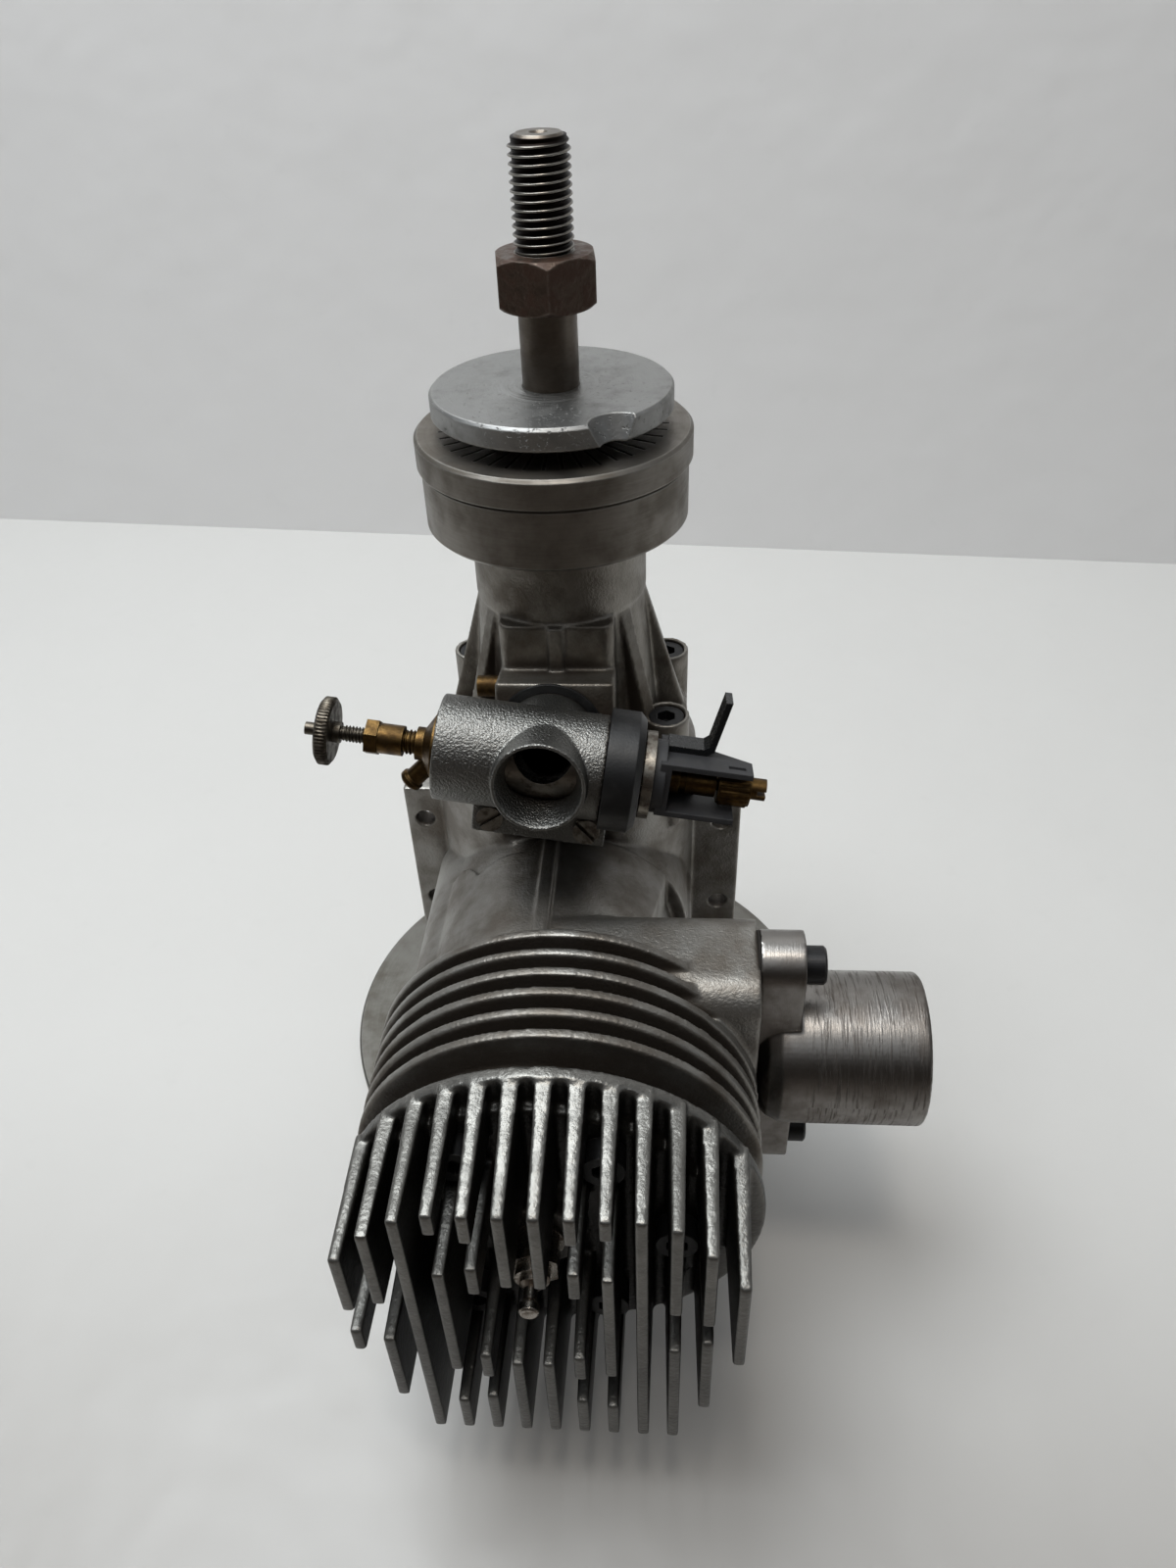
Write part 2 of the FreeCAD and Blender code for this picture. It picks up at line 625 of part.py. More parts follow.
def piston():
    groove_top = PISTON_CROWN - RING_DROP
    skirt = WRIST_PIN_AT_TOP - PISTON_SKIRT
    body = turned([
        (0, skirt),
        (PISTON_RADIUS, skirt),
        (PISTON_RADIUS, groove_top - RING_WIDTH - 2 * SEAT_GAP),
        (PISTON_RADIUS - RING_DEPTH, groove_top - RING_WIDTH - 2 * SEAT_GAP),
        (PISTON_RADIUS - RING_DEPTH, groove_top),
        (PISTON_RADIUS, groove_top),
        (PISTON_RADIUS, PISTON_CROWN - 0.5),
        (PISTON_RADIUS - 0.5, PISTON_CROWN),
        (0, PISTON_CROWN),
    ])
    inner = PISTON_RADIUS - PISTON_WALL
    hollow_top = WRIST_PIN_AT_TOP + SMALL_END_RADIUS + 3.0
    gap = ROD_WIDTH / 2 + OPEN_GAP
    hollow = drum(inner, skirt - 1, hollow_top)
    bosses = block(-WRIST_PIN_RADIUS - 3, WRIST_PIN_RADIUS + 3, -inner - 1, inner + 1,
                   WRIST_PIN_AT_TOP - WRIST_PIN_RADIUS - 3, hollow_top + 1)
    bosses = bosses.cut(block(-inner, inner, -gap, gap, skirt - 1, hollow_top + 2))
    body = body.cut(hollow.cut(bosses))
    pin_hole = Part.makeCylinder(WRIST_PIN_RADIUS + SEAT_GAP, 3 * PISTON_RADIUS,
                                 vec(0, -1.5 * PISTON_RADIUS, WRIST_PIN_AT_TOP), vec(0, 1, 0))
    return on_cylinder(body.cut(pin_hole))


def piston_ring():
    top = PISTON_CROWN - RING_DROP - SEAT_GAP
    low = top - RING_WIDTH
    shape = ring(BORE_RADIUS - SEAT_GAP, PISTON_RADIUS - RING_DEPTH + 0.1, low, top)
    return on_cylinder(shape.cut(block(-0.2, 0.2, -BORE_RADIUS - 1, 0, low - 1, top + 1)))


def wrist_pin_solid(radius, low, high):
    """Round bar through the wrist-pin axis, which lies parallel to the crankshaft."""
    length = high - low
    start = vec(0, -WRIST_PIN_AT_TOP, CYLINDER_HEIGHT + low)
    return Part.makeCylinder(radius, length, start, vec(0, 0, 1))


def wrist_pin():
    reach = PISTON_RADIUS - 2.4
    return wrist_pin_solid(WRIST_PIN_RADIUS, -reach, reach).cut(
        wrist_pin_solid(WRIST_PIN_RADIUS - 1.5, -reach - 1, reach + 1))


def pin_clips():
    reach = PISTON_RADIUS - 2.3
    clips = []
    for low in (-reach - 0.9, reach):
        clips.append(wrist_pin_solid(WRIST_PIN_RADIUS, low, low + 0.9).cut(
            wrist_pin_solid(WRIST_PIN_RADIUS - 0.9, low - 1, low + 2)))
    return Part.makeCompound(clips)


def rod_eye(radius, reach):
    return Part.makeCylinder(radius, ROD_WIDTH, vec(0, -reach, CYLINDER_HEIGHT - ROD_WIDTH / 2), vec(0, 0, 1))


def connecting_rod():
    half = ROD_SHANK_THICK / 2
    shank = plate([
        (-4.6, -CRANK_THROW), (-3.4, -WRIST_PIN_AT_TOP), (3.4, -WRIST_PIN_AT_TOP), (4.6, -CRANK_THROW),
    ], CYLINDER_HEIGHT - half, CYLINDER_HEIGHT + half)
    rod = joined([shank, rod_eye(BIG_END_RADIUS, CRANK_THROW), rod_eye(SMALL_END_RADIUS, WRIST_PIN_AT_TOP)])
    rod = rod.cut(rod_eye(CRANKPIN_RADIUS + BUSH_WALL + 2 * SEAT_GAP, CRANK_THROW))
    return rod.cut(rod_eye(WRIST_PIN_RADIUS + BUSH_WALL + RUN_GAP + SEAT_GAP, WRIST_PIN_AT_TOP))


def big_end_bush():
    outer = rod_eye(CRANKPIN_RADIUS + BUSH_WALL + SEAT_GAP, CRANK_THROW)
    return outer.cut(rod_eye(CRANKPIN_RADIUS + SEAT_GAP, CRANK_THROW))


def small_end_bush():
    outer = rod_eye(WRIST_PIN_RADIUS + BUSH_WALL + RUN_GAP, WRIST_PIN_AT_TOP)
    return outer.cut(rod_eye(WRIST_PIN_RADIUS + RUN_GAP, WRIST_PIN_AT_TOP))


def crankpin():
    return drum(CRANKPIN_RADIUS, COVER_FACE + 0.5, WEB_BASE - 0.3, 0, -CRANK_THROW)


# Crankshaft and bearings

def crankshaft():
    web_top = WEB_BASE + WEB_THICK
    thread_chamfer = 0.8
    shaft = turned([
        (0, WEB_BASE),
        (WEB_RADIUS, WEB_BASE),
        (WEB_RADIUS, web_top),
        (SHAFT_RADIUS + 2.5, web_top),
        (SHAFT_RADIUS + 2.5, REAR_BEARING_BASE),
        (SHAFT_RADIUS, REAR_BEARING_BASE),
        (SHAFT_RADIUS, NOSE_BEARING_BASE - 0.1),
        (NOSE_SHAFT_RADIUS, NOSE_BEARING_BASE - 0.1),
        (NOSE_SHAFT_RADIUS, DRIVER_FACE),
        (PROP_SHAFT_RADIUS, DRIVER_FACE + 1.5),
        (PROP_SHAFT_RADIUS, NUT_TOP),
        (THREAD_ROOT_RADIUS, NUT_TOP),
        (THREAD_ROOT_RADIUS, SHAFT_TIP - thread_chamfer),
        (THREAD_ROOT_RADIUS - thread_chamfer, SHAFT_TIP),
        (1.6, SHAFT_TIP),
        (0, SHAFT_TIP - 1.6),
    ])
    flank = SHAFT_RADIUS + 1.0
    lightening = []
    for side in (-1, 1):
        x0, x1 = sorted((side * flank, side * (WEB_RADIUS + 1)))
        lightening.append(block(x0, x1, -WEB_RADIUS - 1, -2, WEB_BASE - 1, web_top + 1))
    bore_top = INTAKE_HEIGHT + PORT_WINDOW / 2 + 3
    shaft = shaft.cut(Part.makeCompound(lightening + [drum(SHAFT_BORE, WEB_BASE - 1, bore_top)]))
    window_half = PORT_WINDOW / 2
    window = block(-window_half, window_half, -SHAFT_RADIUS - 1, 0,
                   INTAKE_HEIGHT - window_half, INTAKE_HEIGHT + window_half)
    return shaft.cut(window)


def bearing_races(outer, inner, low, high):
    """Outer race with its shields, and inner race, of a shielded ball bearing."""
    inner_race_outer = inner + RACE_WALL
    outer_race = ring(outer, inner_race_outer + 0.3, low, high)
    inner_race = ring(inner_race_outer, inner + SEAT_GAP, low, high)
    return outer_race, inner_race


# Front housing

def housing_boss_places():
    return [(x, y) for x in (-HOUSING_BOSS_X, HOUSING_BOSS_X) for y in (-HOUSING_BOSS_Y, HOUSING_BOSS_Y)]


def gusset(angle):
    foot = HOUSING_BASE + HOUSING_FLANGE_THICK - 0.5
    half = GUSSET_THICK / 2
    web = plate([
        (HOUSING_NECK_RADIUS - 4, foot), (HOUSING_FLANGE_RADIUS - 0.4, foot),
        (HOUSING_NECK_RADIUS - 0.2, HOUSING_SEAM - 1), (HOUSING_NECK_RADIUS - 4, HOUSING_SEAM - 1),
    ], -half, half)
    return placed(placed(web, turn=90, axis=(1, 0, 0)), turn=angle)


def intake_block():
    """Block that holds the carburettor's neck, in the intake frame."""
    body = block(-BLOCK_HALF_WIDTH, BLOCK_HALF_WIDTH, -BLOCK_BOTTOM + 9, BLOCK_TOP, 6, BLOCK_FACE)
    return body.fuse(intake_foot(0)).removeSplitter()


def intake_foot(gap):
    """Foot of the intake block, which takes the carburettor's screws, in the intake frame."""
    half = CARB_FLANGE_HALF_WIDTH + gap
    return block(-half, half, -BLOCK_BOTTOM - gap, -BLOCK_BOTTOM + 10, HOUSING_FLANGE_RADIUS - 4 - gap,
                 BLOCK_FACE + gap)


def intake_tower():
    """Flat-fronted box between the intake block and the nose, with its middle rib."""
    low, high = HOUSING_BASE + HOUSING_FLANGE_THICK - 0.5, HOUSING_SEAM - 0.3
    tower = block(-TOWER_HALF_WIDTH, TOWER_HALF_WIDTH, -TOWER_FACE, 0, low, high)
    edges = []
    for edge in tower.Edges:
        first, last = edge.Vertexes[0].Point, edge.Vertexes[1].Point
        if abs(first.z - last.z) > 1 and first.y < -1:
            edges.append(edge)
    tower = tower.makeFillet(TOWER_CORNER, edges)
    return tower.fuse(block(-1.4, 1.4, -TOWER_FACE - 0.9, -1, low, high))


def front_housing():
    flange_top = HOUSING_BASE + HOUSING_FLANGE_THICK
    body = turned([
        (0, HOUSING_SPIGOT),
        (REAR_BEARING_OUTER - SEAT_GAP, HOUSING_SPIGOT),
        (REAR_BEARING_OUTER - SEAT_GAP, HOUSING_BASE),
        (HOUSING_FLANGE_RADIUS, HOUSING_BASE),
        (HOUSING_FLANGE_RADIUS, flange_top),
        (HOUSING_FOOT_RADIUS, flange_top),
        (HOUSING_NECK_RADIUS - 0.4, HOUSING_SEAM - 0.6),
        (HOUSING_NECK_RADIUS, HOUSING_SEAM),
        (HOUSING_NECK_RADIUS, NOSE_TOP - 0.5),
        (HOUSING_NECK_RADIUS - 0.5, NOSE_TOP),
        (0, NOSE_TOP),
    ])
    shapes = [body, intake_tower(), on_intake(intake_block())]
    for angle in GUSSET_ANGLES:
        shapes.append(gusset(angle))
    for x, y in housing_boss_places():
        shapes.append(drum(HOUSING_BOSS_RADIUS, HOUSING_BASE, HOUSING_BOSS_TOP, x, y))
    housing = joined(shapes)
    housing = housing.cut(joined([
        drum(REAR_BEARING_OUTER - 3, HOUSING_SPIGOT - 1, HOUSING_SPIGOT + 1.5),
        drum(SHAFT_RADIUS + RUN_GAP, HOUSING_SPIGOT, NOSE_BEARING_BASE),
        drum(NOSE_BEARING_OUTER + SEAT_GAP, NOSE_BEARING_BASE, NOSE_TOP + 1),
    ]))
    neck_bottom = BLOCK_FACE - CARB_NECK_DEPTH
    intake = drum(CARB_NECK_RADIUS + SEAT_GAP, neck_bottom, BLOCK_FACE + 1)
    intake = intake.fuse(drum(THROAT_RADIUS, SHAFT_RADIUS - 3, neck_bottom + 1))
    housing = housing.cut(on_carb(intake))
    housing = housing.cut(on_carb(Part.makeCompound(carb_screw_shanks(M3_HOLE, BLOCK_FACE - 6, BLOCK_FACE + 1))))
    housing = housing.cut(on_intake(intake_plug_hole()))
    seat = HOUSING_BOSS_TOP - M4_HEAD_HEIGHT - 0.5
    for x, y in housing_boss_places():
        housing = housing.cut(drum(M4 + SEAT_GAP, HOUSING_BASE - 1, HOUSING_BOSS_TOP, x, y))
        housing = housing.cut(drum(M4_HEAD_RADIUS + 0.2, seat, HOUSING_BOSS_TOP + 1, x, y))
    return housing.removeSplitter()


def front_housing_screws():
    seat = HOUSING_BOSS_TOP - M4_HEAD_HEIGHT - 0.5
    screw = cap_screw(M4, M4_HEAD_RADIUS, M4_HEAD_HEIGHT, seat - CASE_TOP + 8.5, M4_SOCKET)
    return Part.makeCompound([placed(screw, x, y, seat) for x, y in housing_boss_places()])


# Brass plug on the left of the intake block

def side_bar(radius, low, high, up, reach):
    """Round bar along X through the left side of the intake block, in the intake frame."""
    return Part.makeCylinder(radius, high - low, vec(low, up, reach), vec(1, 0, 0))


def intake_plug_hole():
    return side_bar(PLUG_SIDE_SHANK + SEAT_GAP, -BLOCK_HALF_WIDTH - 1, -BLOCK_HALF_WIDTH + 2.2, PLUG_SIDE_UP, PLUG_SIDE_REACH)


def intake_plug():
    start = -BLOCK_HALF_WIDTH
    head = side_bar(PLUG_SIDE_RADIUS - KNURL_DEPTH, start - PLUG_SIDE_LENGTH, start, PLUG_SIDE_UP, PLUG_SIDE_REACH)
    shank = side_bar(PLUG_SIDE_SHANK, start, start + 2.0, PLUG_SIDE_UP, PLUG_SIDE_REACH)
    return on_intake(head.fuse(shank).removeSplitter())


def stop_bar(radius, low, high):
    """Round bar along the barrel stop screw's axis, which runs along X, in the carburettor's frame."""
    start = vec(low, -STOP_SCREW_DROP, CARB_AXIS - STOP_SCREW_BACK)
    return Part.makeCylinder(radius, high - low, start, vec(1, 0, 0))


def stop_screw():
    """Black screw in the left end of the carburettor body that stops the barrel."""
    outer = -CARB_LEFT - STOP_SCREW_HEIGHT
    head = stop_bar(STOP_SCREW_HEAD, outer, -CARB_LEFT).cut(stop_bar(0.9, outer - 0.1, outer + 0.7))
    return on_carb(head.fuse(stop_bar(STOP_SCREW_RADIUS, -CARB_LEFT, -CARB_LEFT + 1.8)).removeSplitter())


# Carburettor, in its own frame: X along the barrel, Z out through the mouth

def carb_screw_shanks(radius, low, high):
    shanks = []
    for side in (-1, 1):
        shanks.append(drum(radius, low, high, side * CARB_SCREW_REACH, -CARB_SCREW_DROP))
    return shanks


def barrel_bar(radius, low, high):
    return Part.makeCylinder(radius, high - low, vec(low, 0, CARB_AXIS), vec(1, 0, 0))


def carb_body():
    flange_base = BLOCK_FACE + CARB_SEAL
    neck_bottom = BLOCK_FACE - CARB_NECK_DEPTH + 0.5
    shapes = [
        barrel_bar(CARB_RADIUS, -CARB_LEFT, CARB_RIGHT),
        drum(CARB_NECK_RADIUS, neck_bottom, CARB_AXIS),
        turned([(0, CARB_AXIS), (MOUTH_RADIUS + 0.7, CARB_AXIS), (MOUTH_RADIUS, MOUTH_FACE),
                (0, MOUTH_FACE)]),
        block(-CARB_FLANGE_HALF_WIDTH, CARB_FLANGE_HALF_WIDTH, -BLOCK_BOTTOM, -5.0, flange_base,
              CARB_FLANGE_FACE),
    ]
    body = joined(shapes)
    bell = turned([(0, CARB_AXIS), (THROAT_RADIUS, CARB_AXIS + 4), (MOUTH_BORE, MOUTH_FACE - 1.5),
                   (MOUTH_BORE + 0.6, MOUTH_FACE + 0.1), (0, MOUTH_FACE + 0.1)])
    tools = [
        barrel_bar(ROTOR_RADIUS + RUN_GAP, -CARB_LEFT + 2.2, CARB_RIGHT + 1),
        barrel_bar(BOOT_RADIUS + OPEN_GAP, CARB_RIGHT, BOOT_END),
        barrel_bar(SEAT_TIP_RADIUS - 1 + SEAT_GAP, -CARB_LEFT - 1, 0),
        stop_bar(STOP_SCREW_RADIUS + SEAT_GAP, -CARB_LEFT - 0.1, -CARB_LEFT + 1.9),
        drum(THROAT_RADIUS, neck_bottom - 1, CARB_AXIS + 5),
        bell,
    ]
    for shape in tools + carb_screw_shanks(M3_HOLE + SEAT_GAP, flange_base - 1, CARB_FLANGE_FACE + 1):
        body = body.cut(shape)
    return on_carb(body.removeSplitter())


def carb_seal():
    seal = ring(CARB_NECK_RADIUS + 1.7, CARB_NECK_RADIUS + SEAT_GAP, BLOCK_FACE, BLOCK_FACE + CARB_SEAL)
    return on_carb(seal)


def carb_screws():
    screws = []
    for side in (-1, 1):
        x = side * CARB_SCREW_REACH
        head = drum(2.5, CARB_FLANGE_FACE, CARB_FLANGE_FACE + 1.8, x, -CARB_SCREW_DROP)
        slot = placed(block(-3, 3, -0.35, 0.35, 0.9, 3), x, -CARB_SCREW_DROP, CARB_FLANGE_FACE, -side * 40)
        shank = drum(M3_HOLE, BLOCK_FACE - 5.5, CARB_FLANGE_FACE, x, -CARB_SCREW_DROP)
        screws.append(head.cut(slot).fuse(shank).removeSplitter())
    return on_carb(Part.makeCompound(screws))


def barrel_boot():
    """Black moulded boot that closes the open end of the carburettor body."""
    boot = turned([
        (ARM_HUB_RADIUS - 2.0, CARB_RIGHT + 0.05),
        (BOOT_RADIUS, CARB_RIGHT + 0.05),
        (BOOT_RADIUS, BOOT_END - 1.2),
        (BOOT_RADIUS - 1.2, BOOT_END),
        (ARM_HUB_RADIUS - 2.0, BOOT_END),
    ])
    return on_barrel(boot)


def throttle_barrel():
    neck = ARM_HUB_RADIUS - 2.3
    rotor = turned([
        (0, -CARB_LEFT + 2.6),
        (ROTOR_RADIUS, -CARB_LEFT + 2.6),
        (ROTOR_RADIUS, CARB_RIGHT - 0.3),
        (neck, CARB_RIGHT - 0.3),
        (neck, ARM_START),
        (0, ARM_START),
    ])
    throat = Part.makeCylinder(THROAT_RADIUS, 4 * ROTOR_RADIUS, vec(-2 * ROTOR_RADIUS, 0, 0), vec(1, 0, 0))
    throat = placed(throat, turn=-THROTTLE_REST)
    return on_barrel(rotor.cut(throat).cut(drum(NEEDLE_RADIUS + OPEN_GAP, -CARB_LEFT, -4)))


def thrust_washer():
    return on_barrel(ring(BOOT_RADIUS - 3.0, ARM_HUB_RADIUS - 2.25, BOOT_END + 0.3, ARM_START - 0.05))


def throttle_arm():
    """Black clamp arm: two tapering plates and a back wall round the brass idle tube."""
    channel = IDLE_SCREW_RADIUS + OPEN_GAP
    start = ARM_START + 1
    root_end = ARM_START + ARM_ROOT_WALL
    top = channel + ARM_WALL
    root = block(-ARM_FRONT, ARM_ROOT_BACK, -top, top, start, root_end)
    upper = plate([(-ARM_FRONT, start), (ARM_ROOT_BACK, start), (-0.5, ARM_END), (-ARM_FRONT, ARM_END)],
                  -top, -channel)
    lower = plate([(-ARM_FRONT, start), (ARM_ROOT_BACK, start), (1.0, ARM_END - 2.0), (-ARM_FRONT, ARM_END - 2.0)],
                  channel, top)
    slot = block(-4.0, -2.8, ARM_END - 4.2, ARM_END - 1.2, -top - 1, -top + 0.5)
    plates = placed(upper.cut(slot).fuse(lower), turn=90, axis=(1, 0, 0))
    back = block(channel - 1.2, channel - 1.2 + ARM_WALL, -top, top, start, ARM_START + 8)
    hub = drum(ARM_HUB_RADIUS, ARM_START, ARM_START + 2.0)
    return on_barrel(joined([hub, root, plates, back]))


def idle_tube():
    start = ARM_START + ARM_ROOT_WALL
    tube = turned([
        (IDLE_STEM_RADIUS + RUN_GAP, start), (2.7, start), (2.7, start + 1.8), (2.0, start + 1.8),
        (2.0, start + 3.0), (2.5, start + 3.0), (2.5, IDLE_SCREW_START - OPEN_GAP),
        (IDLE_STEM_RADIUS + RUN_GAP, IDLE_SCREW_START - OPEN_GAP),
    ])
    return on_barrel(tube)


def throttle_lever():
    """Thin steel lever: a strap on top of the arm's root, bent up at its outer end."""
    low = IDLE_SCREW_RADIUS + OPEN_GAP + ARM_WALL
    high = low + LEVER_THICK
    bend = ARM_START + 9.5
    profile = [
        (low, ARM_START + 2.1), (high, ARM_START + 2.1), (high, bend - 1.2), (high + 0.7, bend - 0.3),
        (low + LEVER_REACH, bend + 1.2), (low + LEVER_REACH, bend + 1.2 + LEVER_THICK),
        (high - 0.3, bend + 0.7), (low, bend - 0.6),
    ]
    lever = placed(plate(profile, -LEVER_HALF_WIDTH, LEVER_HALF_WIDTH), turn=90, axis=(0, 0, 1))
    lever = placed(lever, LEVER_BACK, 0, 0, 90, (0, 1, 0))
    return on_barrel(lever)


def idle_screw():
    shoulder = IDLE_SCREW_SHOULDER
    screw = turned([
        (0, ARM_START + ARM_ROOT_WALL + 2), (IDLE_STEM_RADIUS, ARM_START + ARM_ROOT_WALL + 2),
        (IDLE_STEM_RADIUS, IDLE_SCREW_START), (IDLE_SCREW_RADIUS - KNURL_DEPTH, IDLE_SCREW_START),
        (IDLE_SCREW_RADIUS - KNURL_DEPTH, shoulder), (IDLE_SCREW_RADIUS * 0.55, shoulder),
        (IDLE_SCREW_RADIUS * 0.55, IDLE_SCREW_END), (0, IDLE_SCREW_END),
    ])
    return on_barrel(screw.cut(block(-3, 3, -0.45, 0.45, IDLE_SCREW_END - 1.6, IDLE_SCREW_END + 1)))


# Needle valve on the left end, drawn with outward lengths and mirrored to -X

def on_needle(shape):
    return on_barrel(placed(shape, turn=180, axis=(1, 0, 0)))


def seat_cone(gap):
    """Outside of the brass seat, from the carburettor body outward."""
    return [
        (SEAT_BASE_RADIUS + gap, CARB_LEFT),
        (SEAT_BASE_RADIUS + gap, CARB_LEFT + 0.8),
        (SEAT_TIP_RADIUS + gap, CARB_LEFT + SEAT_TAPER),
        (SEAT_TIP_RADIUS + gap, SEAT_END),
    ]


def needle_seat():
    bore = NEEDLE_RADIUS + RUN_GAP
    plug = SEAT_TIP_RADIUS - 1
    seat = turned([(bore, CARB_LEFT - 1.8), (plug, CARB_LEFT - 1.8), (plug, CARB_LEFT)] + seat_cone(0) + [
        (SEAT_NECK_RADIUS, SEAT_END), (SEAT_NECK_RADIUS, NEEDLE_NUT_START), (bore, NEEDLE_NUT_START)])
    return on_needle(seat)


def needle_nut():
    nut = drum(NEEDLE_NUT_RADIUS, NEEDLE_NUT_START, NEEDLE_NUT_HEX)
    nut = nut.fuse(hexagon(NEEDLE_NUT_WIDTH, NEEDLE_NUT_HEX, NEEDLE_NUT_END)).removeSplitter()
    return on_needle(nut.cut(drum(NEEDLE_RADIUS + RUN_GAP, NEEDLE_NUT_START - 1, NEEDLE_NUT_END + 1)))


def mixture_needle():
    needle = turned([
        (0, CARB_LEFT - 8),
        (NEEDLE_RADIUS, CARB_LEFT),
        (NEEDLE_RADIUS, WHEEL_START + WHEEL_THICK + NEEDLE_STUB),
        (0, WHEEL_START + WHEEL_THICK + NEEDLE_STUB),
    ])
    return on_needle(needle)


def needle_wheel():
    hub = drum(1.9, WHEEL_START - 1.2, WHEEL_START)
    wheel = drum(WHEEL_RADIUS - KNURL_DEPTH, WHEEL_START, WHEEL_START + WHEEL_THICK)
    wheel = wheel.makeChamfer(0.35, [wheel.Edges[0], wheel.Edges[2]])
    wheel = wheel.fuse(hub).removeSplitter()
    return on_needle(wheel.cut(drum(NEEDLE_RADIUS + SEAT_GAP, WHEEL_START - 2, WHEEL_START + WHEEL_THICK + 1)))


def fuel_nipple():
    """Brass fuel pipe that slants down and out of the needle seat."""
    tip = NIPPLE_LENGTH
    tube = turned([
        (NIPPLE_BORE, 0), (NIPPLE_RADIUS - 0.2, 0), (NIPPLE_RADIUS - 0.2, tip - 1.6), (NIPPLE_RADIUS + 0.2, tip - 1.2),
        (NIPPLE_RADIUS + 0.2, tip - 0.4), (NIPPLE_RADIUS - 0.2, tip), (NIPPLE_BORE, tip),
    ])
    down = placed(tube, turn=90, axis=(1, 0, 0))
    nipple = placed(down, -NIPPLE_ROOT, 0, CARB_AXIS, -NIPPLE_TILT)
    nipple = nipple.cut(barrel_bar(SEAT_BASE_RADIUS + 4, -CARB_LEFT - 0.1, 0))
    cone = turned([(0, CARB_LEFT)] + seat_cone(SEAT_GAP) + [(0, SEAT_END)])
    return on_carb(nipple).cut(on_needle(cone))


# Cylinder head

def head_outline(low, high):
    """Fin block: round shoulders, flat top and bottom, and cut lower corners."""
    side = FIN_RADIUS
    lower = HEAD_FLAT_BOTTOM - HEAD_CORNER_SLOPE * (side - HEAD_FLAT_HALF)
    outline = plate([
        (-HEAD_FLAT_HALF, -HEAD_FLAT_BOTTOM), (HEAD_FLAT_HALF, -HEAD_FLAT_BOTTOM),
        (side, -lower), (side, HEAD_FLAT_TOP), (-side, HEAD_FLAT_TOP), (-side, -lower),
    ], low, high)
    crown = drum(FIN_RADIUS, low, high).fuse(block(-side, side, -2 * side, -3, low, high))
    return placed(outline.common(crown), FIN_SHIFT)


def head_fins():
    fins = []
    root = HEAD_FIN_ROOT_THICK / 2
    tip = HEAD_FIN_TIP_THICK / 2
    base = HEAD_PLATE_TOP - 1
    for i in range(HEAD_FIN_COUNT):
        x = FIN_SHIFT + (i - (HEAD_FIN_COUNT - 1) / 2) * HEAD_FIN_PITCH
        fin = plate([
            (x - root, base), (x + root, base), (x + tip, HEAD_FIN_END), (x - tip, HEAD_FIN_END),
        ], -2 * FIN_RADIUS, 2 * FIN_RADIUS)
        fins.append(placed(fin, turn=90, axis=(1, 0, 0)))
    return Part.makeCompound(fins)


def cylinder_head():
    fins = head_fins().common(head_outline(HEAD_PLATE_TOP - 1, HEAD_FIN_END))
    plate_disc = drum(FIN_RADIUS, HEAD_PLATE_BASE, HEAD_PLATE_TOP, FIN_SHIFT)
    boss = drum(BARREL_RADIUS, HEAD_BASE, HEAD_PLATE_BASE)
    wells = [drum(PLUG_WELL_RADIUS, HEAD_PLATE_TOP, HEAD_FIN_END + 1)]
    for x, y in around(HEAD_SCREW_COUNT, HEAD_SCREW_CIRCLE):
        wells.append(drum(SPOT_FACE_RADIUS, HEAD_PLATE_TOP, HEAD_FIN_END + 1, x, y))
    fins = fins.cut(joined(wells))
    head = joined([plate_disc, boss, drum(PLUG_BOSS_RADIUS, HEAD_PLATE_TOP - 1, PLUG_BOSS_TOP)] + fins.Solids)
    bowl = turned([
        (0, HEAD_BASE - 1), (COMBUSTION_RADIUS, HEAD_BASE - 1), (COMBUSTION_RADIUS, HEAD_BASE),
        (COMBUSTION_RADIUS - 5, HEAD_BASE + CHAMBER_DEPTH), (0, HEAD_BASE + CHAMBER_DEPTH),
    ])
    head = head.cut(bowl.fuse(drum(PLUG_THREAD_RADIUS + SEAT_GAP, HEAD_BASE, PLUG_BOSS_TOP + 1)))
    for x, y in around(HEAD_SCREW_COUNT, HEAD_SCREW_CIRCLE):
        head = head.cut(drum(M4 + SEAT_GAP, HEAD_BASE - 1, HEAD_PLATE_TOP + 1, x, y))
    return on_cylinder(head.removeSplitter())


def head_gasket():
    gasket = ring(BARREL_RADIUS - 0.6, BORE_RADIUS + 0.2, DECK, HEAD_BASE)
    for x, y in around(HEAD_SCREW_COUNT, HEAD_SCREW_CIRCLE):
        gasket = gasket.cut(drum(M4 + SEAT_GAP, DECK - 1, HEAD_BASE + 1, x, y))
    return on_cylinder(gasket)


def head_screws():
    screw = cap_screw(M4, M4_HEAD_RADIUS, M4_HEAD_HEIGHT, HEAD_PLATE_TOP - DECK + HEAD_SCREW_DEPTH, M4_SOCKET)
    places = around(HEAD_SCREW_COUNT, HEAD_SCREW_CIRCLE)
    return on_cylinder(Part.makeCompound([placed(screw, x, y, HEAD_PLATE_TOP) for x, y in places]))


def glow_plug_washer():
    washer = ring(PLUG_THREAD_RADIUS + 1.7, PLUG_THREAD_RADIUS + 0.1, PLUG_BOSS_TOP, PLUG_BOSS_TOP + PLUG_WASHER_THICK)
    return on_cylinder(washer)


